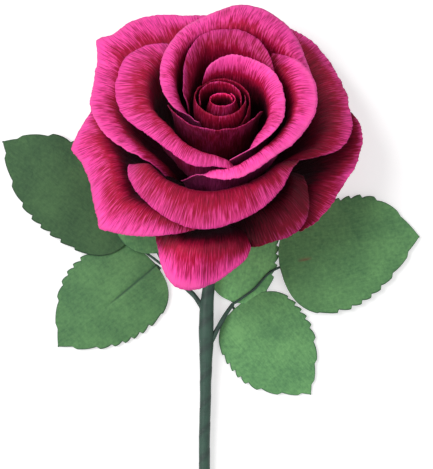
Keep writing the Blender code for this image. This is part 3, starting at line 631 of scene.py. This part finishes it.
def noise_cells(tree, place, size, detail, roughness=0.5):
    """Noise with cells of a size in metres, or of two or three sizes across and along."""
    if isinstance(size, tuple):
        place = multiplied(tree, place, tuple(1.0 / side if side else 0.0 for side in size))
        size = 1.0
    return add_node(tree, "ShaderNodeTexNoise", inputs={
        "Vector": place, "Scale": 1.0 / size, "Detail": detail, "Roughness": roughness}).outputs["Fac"]


def mixed(tree, factor, first, second):
    """A colour mixed into another by a factor."""
    return add_node(tree, "ShaderNodeMix", {"data_type": "RGBA"}, {
        "Factor": factor, "A": first, "B": (*second, 1.0)}).outputs["Result"]


def lit(tree, colour_in, factor):
    """A colour made lighter or darker."""
    return add_node(tree, "ShaderNodeVectorMath", {"operation": "SCALE"},
                    {0: colour_in, "Scale": factor}).outputs[0]


def point_value(tree, name, output="Fac"):
    """A value that the points of a piece hold."""
    return add_node(tree, "ShaderNodeAttribute", {"attribute_name": name}).outputs[output]


def woven(tree):
    """The place in the weave that the points of a piece hold, and its third value."""
    place = point_value(tree, "weave", "Vector")
    return place, add_node(tree, "ShaderNodeSeparateXYZ", inputs={0: place}).outputs["Z"]


def finish_shader(tree, shader, socket, value, height, strength, distance):
    """Link one value of a shader, and a bump of a height in metres."""
    tree.links.new(value, shader.inputs[socket])
    bump = add_node(tree, "ShaderNodeBump", inputs={
        "Height": height, "Strength": strength, "Distance": distance})
    tree.links.new(bump.outputs[0], shader.inputs["Normal"])


def crepe_paper(sizes, colours):
    """Dyed crepe paper, machine crimped and then stretched by hand.

    The crimp gives the eye fine ridges that run from base to rim, with painted highlight on their tops and
    painted shade between them, and its fibres give a soft satin edge. Deeper down in the cup the colour is
    darker, partly for the unstretched paper's deeper dye and partly as painted shade.
    """
    made, tree, shader = start_material("crepe_paper_stretched", {
        "Roughness": 0.5, "Sheen Weight": 0.04, "Sheen Roughness": 0.4,
        "Sheen Tint": (1.0, 0.35, 0.7, 1.0), "Specular IOR Level": 0.12})
    place, reach = woven(tree)
    # Crepe ridges: cells of under half a pitch across and 6.5 mm along
    ridges = noise_cells(tree, place, (sizes.crepe_pitch / 2.3, 0.0065, 0.0), 2.5, 0.6)
    # Stretch marks: soft bands about 3 mm across
    bands = noise_cells(tree, place, (0.003, 0.04, 0.0), 2.0)
    # Dye mottles: about 9 mm across
    dye = noise_cells(tree, place, (0.009, 0.011, 0.0), 3.0, 0.55)
    # Place on the colour ramp: the petal's reach, which carries painted shade, plus dye mottles
    lightness = maths(tree, "MULTIPLY_ADD", dye, 0.2, reach)
    # Painted shade: between the ridges the colour moves down the ramp, darker and redder
    ridge_valley_shade = maths(tree, "ADD", lightness, map_range(tree, ridges, 0.36, 0.6, -0.06, 0.02))
    # Colour ramp from heart to rim: the dark heart is partly the unstretched paper's deeper dye and partly
    # painted shade
    depth = add_node(tree, "ShaderNodeValToRGB", inputs={"Fac": ridge_valley_shade})
    ramp = depth.color_ramp
    ramp.elements[0].position, ramp.elements[0].color = 0.54, (*colours.petal_heart_dye_and_shade, 1.0)
    ramp.elements[1].position, ramp.elements[1].color = 0.97, (*colours.petal_rim, 1.0)
    ramp.elements.new(0.83).color = (*colours.petal_face, 1.0)
    # Painted light and shade: the colour is lighter on the ridge tops and darker between them
    ridge_light_and_shade = map_range(tree, ridges, 0.36, 0.6, 0.73, 1.13)
    soft = map_range(tree, bands, 0.3, 0.7, 0.92, 1.08)
    shade = lit(tree, depth.outputs["Color"], maths(tree, "MULTIPLY", ridge_light_and_shade, soft))
    # Painted highlight: ridge tops are mixed towards pale pink, most of all near the rim and where light
    # reaches, and so is a thin band along the cut
    ridge_highlight = maths(tree, "MULTIPLY", map_range(tree, ridges, 0.55, 0.68, 0.0, 0.6),
                       map_range(tree, reach, 0.6, 0.9, 0.1, 1.0))
    pale = maths(tree, "MAXIMUM", ridge_highlight, map_range(tree, reach, 0.87, 0.9, 0.0, 0.5))
    dyed = mixed(tree, pale, shade, colours.petal_ridge_highlight)
    # The tone attribute darkens each petal: its own tone, partly dye and partly painted light and shade, and
    # painted shade where the petals crowd together
    height = maths(tree, "MULTIPLY_ADD", bands, 0.8, ridges)
    finish_shader(tree, shader, "Base Color", lit(tree, dyed, point_value(tree, "tone")),
                  height, 1.0, sizes.crepe_depth)
    return made


def leaf_paper(colours):
    """Doubled green leaf paper, glued flat and cut with scissors.

    The glue and the fibres give the eye pale and dark mottles of one to two millimetres. The colour is darker
    along the cut edge, and painted shade darkens the midrib crease.
    """
    made, tree, shader = start_material("leaf_paper_glued", {
        "Roughness": 0.72, "Sheen Weight": 0.12, "Sheen Roughness": 0.5, "Specular IOR Level": 0.35})
    place, reach = woven(tree)
    flat = multiplied(tree, place, (1.0, 1.0, 0.0))
    # Glue mottles of 1.5 mm, shade over the whole blade and fibres of 0.7 mm
    mottle = noise_cells(tree, flat, 0.0015, 3.0, 0.65)
    broad = noise_cells(tree, flat, 0.014, 2.0)
    fibre = noise_cells(tree, place, (0.0007, 0.004, 0.0), 2.0, 0.6)
    grain = maths(tree, "MULTIPLY_ADD", fibre, 0.5, maths(tree, "ADD", mottle, broad))
    tone = add_node(tree, "ShaderNodeValToRGB", inputs={"Fac": map_range(tree, grain, 0.96, 1.54)})
    tone.color_ramp.elements[0].color = (*colours.leaf_dark, 1.0)
    tone.color_ramp.elements[1].color = (*colours.leaf_light, 1.0)
    # The weave's third value is how far the point is from a cut edge or crease: the colour darkens near the
    # cut edge, and painted shade darkens it in the crease
    edge = map_range(tree, reach, 0.0001, 0.0006, 0.9, 0.0)
    cut = mixed(tree, edge, tone.outputs["Color"], colours.leaf_edge)
    # A piece's tone is partly its paper and partly painted light and shade
    shade = lit(tree, cut, point_value(tree, "tone"))
    # The bloom's dye has run into the paper in one place
    stained = mixed(tree, point_value(tree, "stain"), shade, colours.leaf_stain)
    finish_shader(tree, shader, "Base Color", stained, grain, 0.7, 0.00012)
    return made


def floral_tape(colours):
    """Waxed crepe tape, stretched and wound in a long spiral.

    The wax gives the eye a dull sheen, the crepe fine lines round the stem, and
    each lap a darker line.
    """
    made, tree, shader = start_material("floral_tape_waxed", {
        "Roughness": 0.55, "Specular IOR Level": 0.45, "Sheen Weight": 0.1})
    place, face = woven(tree)
    lines = noise_cells(tree, place, (0.004, 0.0009, 0.0), 2.0, 0.6)
    blotch = noise_cells(tree, place, 0.006, 3.0, 0.6)
    # The weave's third value is 0 on a lap's step and 1 on the open face
    lap = maths(tree, "MULTIPLY_ADD", lines, 0.5, face)
    lightness = map_range(tree, maths(tree, "MULTIPLY", lap, blotch), 0.25, 0.75)
    tone = mixed(tree, lightness, (*colours.tape_dark, 1.0), colours.tape_light)
    finish_shader(tree, shader, "Base Color", tone, lines, 0.8, 0.0002)
    return made


def drawn_steel(colours):
    """Drawn steel wire, cut with pliers: fine lines along it and a dull shine."""
    made, tree, shader = start_material("steel_wire_drawn", {
        "Metallic": 1.0, "Roughness": 0.38, "Base Color": (*colours.steel, 1.0)})
    place = add_node(tree, "ShaderNodeTexCoord").outputs["Object"]
    # Die lines of 0.1 mm round the wire, drawn out along the stem
    lines = noise_cells(tree, place, (0.0001, 0.004, 0.0001), 2.0)
    shine = map_range(tree, lines, 0.0, 1.0, 0.28, 0.5)
    finish_shader(tree, shader, "Roughness", shine, lines, 0.4, 0.00003)
    return made


def pressed_pulp(colours):
    """Paper pulp, pressed in a mould: matt and slightly grainy."""
    made, tree, shader = start_material("paper_pulp_pressed", {
        "Roughness": 0.88, "Specular IOR Level": 0.25})
    place = add_node(tree, "ShaderNodeTexCoord").outputs["Object"]
    # Pulp grain of about 0.5 mm
    grain = noise_cells(tree, place, 0.0005, 3.0)
    tone = mixed(tree, grain, (*(0.7 * c for c in colours.core), 1.0), colours.core)
    finish_shader(tree, shader, "Base Color", tone, grain, 0.6, 0.0002)
    return made


def place_petal(family, row, stations, seed, sizes):
    """One finished petal: the solid's shape with crepe folds, a waved rim and a frayed cut."""
    rim_length = sum(math.radians(b[0] - a[0]) * (a[3] + b[3]) / 2
                     for a, b in zip(stations, stations[1:]))
    side = stations[len(stations) // 2]
    length = math.hypot(side[2], side[1]) + LIP_LENGTH
    columns = max(30, round(rim_length * MM / sizes.column_width))
    rows = max(24, round(length / PETAL_ROW_LENGTH))
    grid = petal_grid(stations, family, row, columns, rows)
    normals = grid_normals(grid)
    fold, wave = sizes.fold_depth / MM, sizes.rim_wave / MM
    fray, fold_pitch = sizes.rim_fray / MM, sizes.fold_pitch / MM
    moved = grid.copy()
    weave = np.zeros_like(grid)
    for j in range(columns + 1):
        across = rim_length * j / columns
        for i in range(rows + 1):
            share = i / rows
            along = length * share
            crease = noise_at(across / fold_pitch, along / FOLD_RUN, seed * 7.3)
            fine = noise_at(across / CREASE_SIZE[0], along / CREASE_SIZE[1], seed * 3.1 + 40)
            ripple = noise_at(across / RIPPLE_SIZE[0], along / RIPPLE_SIZE[1], seed * 5.7 + 80)
            rise = fold * ease(share / 0.5) * (crease + CREASE_SHARE * fine)
            rise += wave * ease((share - 0.6) / 0.4) * ripple
            moved[i, j] += rise * normals[i, j]
            weave[i, j] = ((across + PETAL_WEAVE_STEP * seed) * MM, along * MM, share)
        tip = grid[rows, j] - grid[rows - 1, j]
        tip /= max(np.linalg.norm(tip), 1e-9)
        torn = noise_at(across / FRAY_SIZES[0], seed * 2.3, 5.0)
        torn += FRAY_BROAD_SHARE * noise_at(across / FRAY_SIZES[1], seed * 4.9, 9.0)
        moved[rows, j] += fray * torn * tip
        moved[rows - 1, j] += FRAY_ROW_SHARE * fray * torn * tip
    placed = bloom_to_world(moved)
    placed[:, :, 2] = np.maximum(placed[:, :, 2], TABLE_CLEAR)
    return placed, weave


def place_roll():
    """The finished strip that is rolled up in the middle of the bud."""
    columns, rows = ROLL_FINE
    grid = np.zeros((rows + 1, columns + 1, 3))
    weave = np.zeros_like(grid)
    length = ROLL_TOP_HEIGHT - ROLL_BASE_HEIGHT
    around = math.radians(ROLL_TURN) * (ROLL_BELLY_RADIUS + ROLL_BELLY_PITCH / 2)
    for i in range(rows + 1):
        rise = i / rows
        lean = ease(rise / ROLL_BELLY_SHARE)
        curl = ease((rise - ROLL_BELLY_SHARE) / (1 - ROLL_BELLY_SHARE))
        deep = 1 - ROLL_FLATNESS * lean
        for j in range(columns + 1):
            turn = math.radians(ROLL_TURN) * j / columns
            wound = turn / (2 * math.pi)
            low = ROLL_BASE_RADIUS + ROLL_BASE_PITCH * wound
            belly = ROLL_BELLY_RADIUS + ROLL_BELLY_PITCH * wound
            mouth = ROLL_MOUTH_RADIUS + ROLL_MOUTH_PITCH * wound
            across = around * j / columns
            crease = noise_at(across / 2.2, rise * 2.0, 3.3) + 0.5 * noise_at(across / 1.0, rise * 3.0, 6.6)
            radius = low + (belly - low) * lean + (mouth - belly) * curl
            radius += ROLL_CREASE * crease * ease(2 * rise)
            torn = ROLL_FRAY * noise_at(across / 0.9, 4.4) * ease((rise - 0.85) / 0.15)
            grid[i, j] = (ROLL_CENTRE[0] * lean + radius * math.cos(turn),
                          ROLL_CENTRE[1] * lean + deep * radius * math.sin(turn),
                          ROLL_BASE_HEIGHT + rise * length + torn)
            weave[i, j] = (across * MM, rise * length * MM, rise)
    return bloom_to_world(grid), weave


class ROSE_OT_petals(bpy.types.Operator):
    """Make the bud roll and the petals of every row, each on the place of its solid."""
    bl_idname = "rose.petals"
    bl_label = "Petals"

    def execute(self, context):
        sizes, colours = context.scene.rose_sizes, context.scene.rose_colours
        paper = crepe_paper(sizes, colours)
        sheets = {"bud_roll": (ROLL_DYE_AND_SHADE, *place_roll())}
        for seed, (name, family, row, dye, stations) in enumerate(PETALS, 1):
            sheets[name] = (dye, *place_petal(family, row, stations, seed, sizes))
        # How much light reaches each point, painted into the petals' colour as shade
        shares = open_shares([grid for dye, grid, weave in sheets.values()])
        low, high = OPEN_RANGE
        for (name, (dye, grid, weave)), sides in zip(sheets.items(), shares):
            lights = [np.clip((share - low) / (high - low), 0.0, 1.0) ** OPEN_DEPTH for share in sides]
            tone, stretch, deep = dye
            outside = weave.copy()
            outside[:, :, 2] = stretch * (
                OUTSIDE_REACH + (RIM_REACH - OUTSIDE_REACH) * weave[:, :, 2])
            # Painted shade inside: where little light reaches, the colour moves down the ramp, to no less
            # than the petal's deepest level
            least, lit_share = INSIDE_REACH_WITH_SHADE
            weave[:, :, 2] *= stretch * (least + lit_share * np.maximum(lights[1], deep))
            # Each side's tone: the petal's own, partly painted light and shade, darkened by painted shade
            # where little light reaches
            tone_and_shade = [tone * (dark + (1.0 - dark) * light)
                     for dark, light in zip((OUTSIDE_DARKEST_PAINTED_SHADE, deep), lights)]
            petal = grid_object("crepe_" + name, grid, (outside, weave), sizes.petal_paper, tone_and_shade=tone_and_shade)
            dress(petal, paper, "petal_paper", name)
        return {"FINISHED"}


class ROSE_OT_core(bpy.types.Operator):
    """Finish the core and make the calyx with its cut sepals."""
    bl_idname = "rose.core"
    bl_label = "Core and Calyx"

    def execute(self, context):
        sizes, colours = context.scene.rose_sizes, context.scene.rose_colours
        pulp = pressed_pulp(colours)
        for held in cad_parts["receptacle"].material_slots:
            held.material = pulp
        paper = leaf_paper(colours)
        clear = GLUE_ROOM
        foot = (CORE_FOOT_RADIUS + clear, CORE_FOOT)
        waist = (CORE_WAIST_RADIUS + clear, -CORE_RIM_DROP - clear)
        steps, cup, blade = CALYX_FINE
        grid = np.zeros((cup + blade + 1, steps, 3))
        weave = np.zeros_like(grid)
        for k in range(steps):
            angle = 2 * math.pi * k / steps
            point = abs(math.cos(SEPAL_COUNT * angle / 2)) ** SEPAL_POINT
            reach = SEPAL_NOTCH_REACH + (SEPAL_REACH - SEPAL_NOTCH_REACH) * point
            for i in range(cup + blade + 1):
                if i <= cup:
                    radius = foot[0] + (waist[0] - foot[0]) * i / cup
                    height = foot[1] + (waist[1] - foot[1]) * i / cup
                else:
                    share = (i - cup) / blade
                    radius = waist[0] + share * (reach - waist[0])
                    height = waist[1] + SEPAL_RISE * share
                crease = CALYX_CREASE * noise_at(6.0 * math.cos(angle), 6.0 * math.sin(angle), i / 9.0)
                grid[i, k] = (radius * math.cos(angle), radius * math.sin(angle), height + crease)
                edge = (cup + blade - i) / blade * (reach - waist[0])
                weave[i, k] = (radius * angle * MM, radius * MM, edge * MM)
        calyx = grid_object("paper_calyx", bloom_to_world(grid), (weave, weave), sizes.leaf_paper,
                            closed=True)
        dress(calyx, paper, "leaf_paper", "calyx")
        return {"FINISHED"}


def ring_frames(line):
    """Side and up directions, square to a line at each of its points."""
    frames = []
    for i in range(len(line)):
        ahead = Vector(line[min(i + 1, len(line) - 1)]) - Vector(line[max(i - 1, 0)])
        ahead.normalize()
        side = ahead.cross(Vector((0, 0, 1))).normalized()
        frames.append((side, side.cross(ahead)))
    return frames


def wound_rod(name, line, radius_at, sides, sizes, hollow=None):
    """A rod or tube along a line with a spiral of tape on it. Lengths are in millimetres.

    radius_at gives the plain radius at each point, and hollow is a tube's inner radius.
    """
    frames = ring_frames(line)
    run = [0.0]
    for a, b in zip(line, line[1:]):
        run.append(run[-1] + math.dist(a, b))
    pitch, step = sizes.tape_pitch / MM, sizes.tape_step / MM
    walls = [radius_at] if hollow is None else [radius_at, [hollow] * len(line)]
    points, weave = [], []
    for bare, radii in enumerate(walls):
        for centre, (side, up), radius, along in zip(line, frames, radii, run):
            for k in range(sides):
                angle = 2 * math.pi * k / sides
                lap = (along / pitch + angle / (2 * math.pi)) % 1.0
                lift = (step if radius > THIN_ROD_RADIUS else THIN_ROD_STEP * step) * (0.5 - lap)
                lift += TAPE_CREASE * noise_at(2.0 * math.cos(angle), 2.0 * math.sin(angle), along / 5.0)
                out = radius if bare else radius + lift
                spot = Vector(centre) + out * (math.cos(angle) * side + math.sin(angle) * up)
                points.append(spot * MM)
                face = 0.0 if bare else min(1.0, LAP_SHARPNESS * min(lap, 1.0 - lap))
                weave.append((radius * angle * MM, along * MM, face))
    last, inside = (len(line) - 1) * sides, len(line) * sides
    faces = []
    for k in range(sides):
        beside = (k + 1) % sides
        for i in range(0, last, sides):
            faces.append((i + sides + k, i + sides + beside, i + beside, i + k))
            if hollow is not None:
                low = inside + i
                faces.append((low + k, low + beside, low + sides + beside, low + sides + k))
        if hollow is not None:
            faces.append((k, beside, inside + beside, inside + k))
            faces.append((inside + last + k, inside + last + beside, last + beside, last + k))
    if hollow is None:
        faces.append(tuple(range(sides)))
        faces.append(tuple(last + k for k in reversed(range(sides))))
    return mesh_object(name, points, faces, weave)


def to_world(points):
    """Points measured from under the bloom's foot, moved to where the spray lies."""
    return [tuple(a + b for a, b in zip(point, SPRAY_ORIGIN)) for point in points]


class ROSE_OT_stem(bpy.types.Operator):
    """Make the stem's wound tape over its wire."""
    bl_idname = "rose.stem"
    bl_label = "Stem"

    def execute(self, context):
        sizes, colours = context.scene.rose_sizes, context.scene.rose_colours
        tape = floral_tape(colours)
        steel = drawn_steel(colours)
        turn = Matrix.Translation(BLOOM_FOOT) @ Matrix.Rotation(-math.radians(BLOOM_TILT), 4, "X")
        neck = [tuple(turn @ Vector((0.0, 0.0, height))) for height in STEM_NECK_HEIGHTS]
        line = smooth_line(neck + to_world(STEM_LINE), STEM_FINE[0])
        radii = [STEM_TAPE_RADIUS + STEM_JOINT_SWELL * math.exp(
            -((y - SPRAY_ORIGIN[1] - STEM_JOINT_PLACE) / STEM_JOINT_SPREAD) ** 2) for x, y, z in line]
        stem = wound_rod("wound_stem_tape", line, radii, STEM_FINE[1], sizes, hollow=STEM_BORE_RADIUS)
        dress(stem, tape, "floral_tape", "stem_tape")
        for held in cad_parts["stem_wire"].material_slots:
            held.material = steel
        return {"FINISHED"}


class ROSE_OT_twigs(bpy.types.Operator):
    """Make the taped twigs and the taped wires under the leaves."""
    bl_idname = "rose.twigs"
    bl_label = "Twigs and Leaf Wires"

    def execute(self, context):
        sizes = context.scene.rose_sizes
        tape = bpy.data.materials["floral_tape_waxed"]
        for name, points in TWIGS.items():
            line = smooth_line(to_world(points), ROD_FINE[0])
            radii = [TWIG_RADII[0] + (TWIG_RADII[1] - TWIG_RADII[0]) * i / ROD_FINE[0]
                     for i in range(len(line))]
            twig = wound_rod("wound_" + name, line, radii, ROD_FINE[1], sizes)
            dress(twig, tape, "floral_tape", name)
        for name, leaf in LEAVES.items():
            under = []
            for share in LEAF_WIRE_SHARES:
                x, y, z = leaf_point(leaf, share, 0.0)
                under.append((x, y, z - LEAF_WIRE_DROP))
            line = smooth_line(to_world(leaf["wire"] + under), ROD_FINE[0])
            wire = wound_rod("wound_" + name + "_wire", line, [LEAF_WIRE_RADIUS] * len(line),
                             ROD_FINE[1], sizes)
            dress(wire, tape, "floral_tape", name + "_wire")
        return {"FINISHED"}


def leaf_half_width(share, widest, place, fullness):
    """Half the blade's width at one share of its length: round at the base, pointed at the tip."""
    if share < place:
        squash, bend = LEAF_BASE_ROUNDNESS
        return widest * (1 - (1 - share / place) ** squash) ** bend
    return widest * (1 - ((share - place) / (1 - place)) ** fullness)


def leaf_point(leaf, share, across):
    """A point of the blade: across is in millimetres, left of the midrib first."""
    angle = math.radians(leaf["direction"])
    along = share * leaf["length"]
    widest = leaf["left" if across > 0 else "right"][0]
    rise = leaf["mid"] * math.sin(math.pi * share) + leaf["tip"] * share ** 2
    drop = leaf["drop"] * (across / widest) ** 2
    return (leaf["base"][0] + along * math.cos(angle) - across * math.sin(angle),
            leaf["base"][1] + along * math.sin(angle) + across * math.cos(angle),
            leaf["height"] + rise - drop)


def leaf_edge(leaf, share, side, depth):
    """Half width at a cut edge: scallops that end in a step towards the tip."""
    tooth = (share * LEAF_TEETH + 0.4 * math.sin(9.0 * share + leaf["length"])) % 1.0
    if tooth < TOOTH_SCALLOP:
        bite = (1.0 - tooth / TOOTH_SCALLOP) ** TOOTH_CURVE
    else:
        bite = (tooth - TOOTH_SCALLOP) / (1.0 - TOOTH_SCALLOP)
    bite *= ease((share - TEETH_START[0]) / TEETH_START[1])
    end = LEAF_BASE_HALF_WIDTH + (LEAF_TIP_HALF_WIDTH - LEAF_BASE_HALF_WIDTH) * share
    return max(leaf_half_width(share, *leaf[side]) - depth * bite, end)


class ROSE_OT_leaves(bpy.types.Operator):
    """Make the leaves with their cut teeth, midrib crease and soft waves."""
    bl_idname = "rose.leaves"
    bl_label = "Leaves"

    def execute(self, context):
        sizes = context.scene.rose_sizes
        paper = bpy.data.materials["leaf_paper_glued"]
        lengthwise, half = LEAF_FINE
        depth = sizes.tooth_depth / MM
        for seed, (name, leaf) in enumerate(LEAVES.items(), 1):
            grid = np.zeros((lengthwise + 1, 2 * half + 1, 3))
            weave = np.zeros_like(grid)
            stain = np.zeros((lengthwise + 1, 2 * half + 1))
            marked, first, last, aside = LEAF_STAIN
            for i in range(lengthwise + 1):
                share = i / lengthwise
                left = leaf_edge(leaf, share, "left", depth)
                right = leaf_edge(leaf, share, "right", depth)
                for j in range(2 * half + 1):
                    part = 1.0 - j / half
                    across = part * (left if part > 0 else right)
                    x, y, z = leaf_point(leaf, share, across)
                    along = share * leaf["length"]
                    fading = 1.0 - ease((share - LEAF_CREASE_FADE) / LEAF_CREASE_FADE)
                    fading *= leaf["crease"]
                    z -= LEAF_CREASE_DEPTH * fading * math.exp(-(across / LEAF_CREASE_WIDTH) ** 2)
                    z += LEAF_WAVE * noise_at(across / 9.0, along / 11.0, seed * 3.7)
                    grid[i, j] = to_world([(x, y, z)])[0]
                    edge = min((1.0 - abs(part)) * (left if part > 0 else right), along + 0.3)
                    crease = 0.1 + 0.6 * abs(across) + 1.0 - fading
                    weave[i, j] = ((across + LEAF_WEAVE_STEP * seed) * MM, along * MM, min(edge, crease) * MM)
                    if name == marked and first < share < last:
                        ends = math.sin(math.pi * (share - first) / (last - first))
                        stain[i, j] = ends * math.exp(-((across - aside) / LEAF_STAIN_WIDTH) ** 2)
            # A leaf's tone is partly its paper and partly painted light and shade
            blade = grid_object("paper_" + name, grid, (weave, weave), sizes.leaf_paper,
                                tone_and_shade=(leaf["tone"], leaf["tone"]))
            hold_values(blade.data, "stain", np.tile(stain.reshape(-1), 2))
            dress(blade, paper, "leaf_paper", name)
        return {"FINISHED"}


def seen_rays(tree):
    """1 for rays from the camera, a mirror or glass, and 0 for the others."""
    path = add_node(tree, "ShaderNodeLightPath")
    seen = maths(tree, "MAXIMUM", path.outputs["Is Camera Ray"], path.outputs["Is Glossy Ray"])
    return maths(tree, "MAXIMUM", seen, path.outputs["Is Transmission Ray"])


class ROSE_OT_stage(bpy.types.Operator):
    """Make the floor, the soft studio light and the camera straight above."""
    bl_idname = "rose.stage"
    bl_label = "Stage"

    def execute(self, context):
        scene, colours = context.scene, context.scene.rose_colours
        made, tree, shader = start_material("floor_matt_paint", {
            "Roughness": 0.9, "Base Color": (*colours.floor, 1.0), "Specular IOR Level": 0.2})
        # The floor looks white to the camera and in reflections, and keeps its shadows
        shader.inputs["Emission Color"].default_value = (1.0, 1.0, 1.0, 1.0)
        glow = maths(tree, "MULTIPLY", seen_rays(tree), FLOOR_GLOW)
        tree.links.new(glow, shader.inputs["Emission Strength"])
        mesh = bpy.data.meshes.new("studio_floor")
        corners = [(x * FLOOR_REACH, y * FLOOR_REACH, FLOOR_HEIGHT)
                   for x, y in ((-1, -1), (1, -1), (1, 1), (-1, 1))]
        mesh.from_pydata(corners, [], [(0, 1, 2, 3)])
        mesh.materials.append(made)
        add_object("studio_floor", mesh)

        world = bpy.data.worlds.new("studio_world")
        world.use_nodes = True
        scene.world = world
        sky = world.node_tree.nodes["Background"]
        level = map_range(world.node_tree, seen_rays(world.node_tree), 0.0, 1.0, WORLD_LEVEL, 1.0)
        world.node_tree.links.new(level, sky.inputs["Strength"])
        sky.inputs["Color"].default_value = (1.0, 1.0, 1.0, 1.0)

        for name, place, size, power in LAMPS:
            lamp = bpy.data.lights.new(name, "AREA")
            lamp.shape = "DISK"
            lamp.size = size
            lamp.energy = power
            held = add_object(name, lamp)
            held.location = place
            held.rotation_mode = "QUATERNION"
            held.rotation_quaternion = (Vector(LAMP_AIM) - Vector(place)).to_track_quat("-Z", "Y")
            held.visible_camera = False

        lens = bpy.data.cameras.new("photo_camera")
        lens.sensor_fit = "HORIZONTAL"
        lens.sensor_width = SENSOR_WIDTH
        lens.lens = SENSOR_WIDTH * (CAMERA_HEIGHT - VIEW_PLANE) / VIEW_WIDTH
        lens.clip_start, lens.clip_end = 0.1, 20.0
        camera = add_object("photo_camera", lens)
        camera.location = (VIEW_CENTRE[0], VIEW_CENTRE[1], CAMERA_HEIGHT)
        scene.camera = camera
        scene.view_settings.view_transform = "Standard"
        return {"FINISHED"}


class ROSE_PT_panel(bpy.types.Panel):
    """Sizes, colours and steps of the rose."""
    bl_idname = "ROSE_PT_panel"
    bl_label = "Paper Rose"
    bl_space_type = "VIEW_3D"
    bl_region_type = "UI"
    bl_category = "Paper Rose"

    def draw(self, context):
        for group in (context.scene.rose_sizes, context.scene.rose_colours):
            box = self.layout.box()
            for name in group.bl_rna.properties.keys():
                if name not in ("rna_type", "name"):
                    box.prop(group, name)
        for step in STEPS:
            self.layout.operator(step.bl_idname)


STEPS = (ROSE_OT_petals, ROSE_OT_core, ROSE_OT_stem, ROSE_OT_twigs, ROSE_OT_leaves,
         ROSE_OT_stage)
CLASSES = (RoseSizes, RoseColours, *STEPS, ROSE_PT_panel)


def register():
    """Add the classes and the settings that they read."""
    for item in CLASSES:
        bpy.utils.register_class(item)
    bpy.types.Scene.rose_sizes = PointerProperty(type=RoseSizes)
    bpy.types.Scene.rose_colours = PointerProperty(type=RoseColours)


def unregister():
    """Take the settings and the classes away again."""
    del bpy.types.Scene.rose_colours
    del bpy.types.Scene.rose_sizes
    for item in reversed(CLASSES):
        bpy.utils.unregister_class(item)


def main():
    """Make every piece and the stage."""
    register()
    bpy.ops.rose.petals()
    bpy.ops.rose.core()
    bpy.ops.rose.stem()
    bpy.ops.rose.twigs()
    bpy.ops.rose.leaves()
    bpy.ops.rose.stage()


if __name__ == "__main__":
    main()
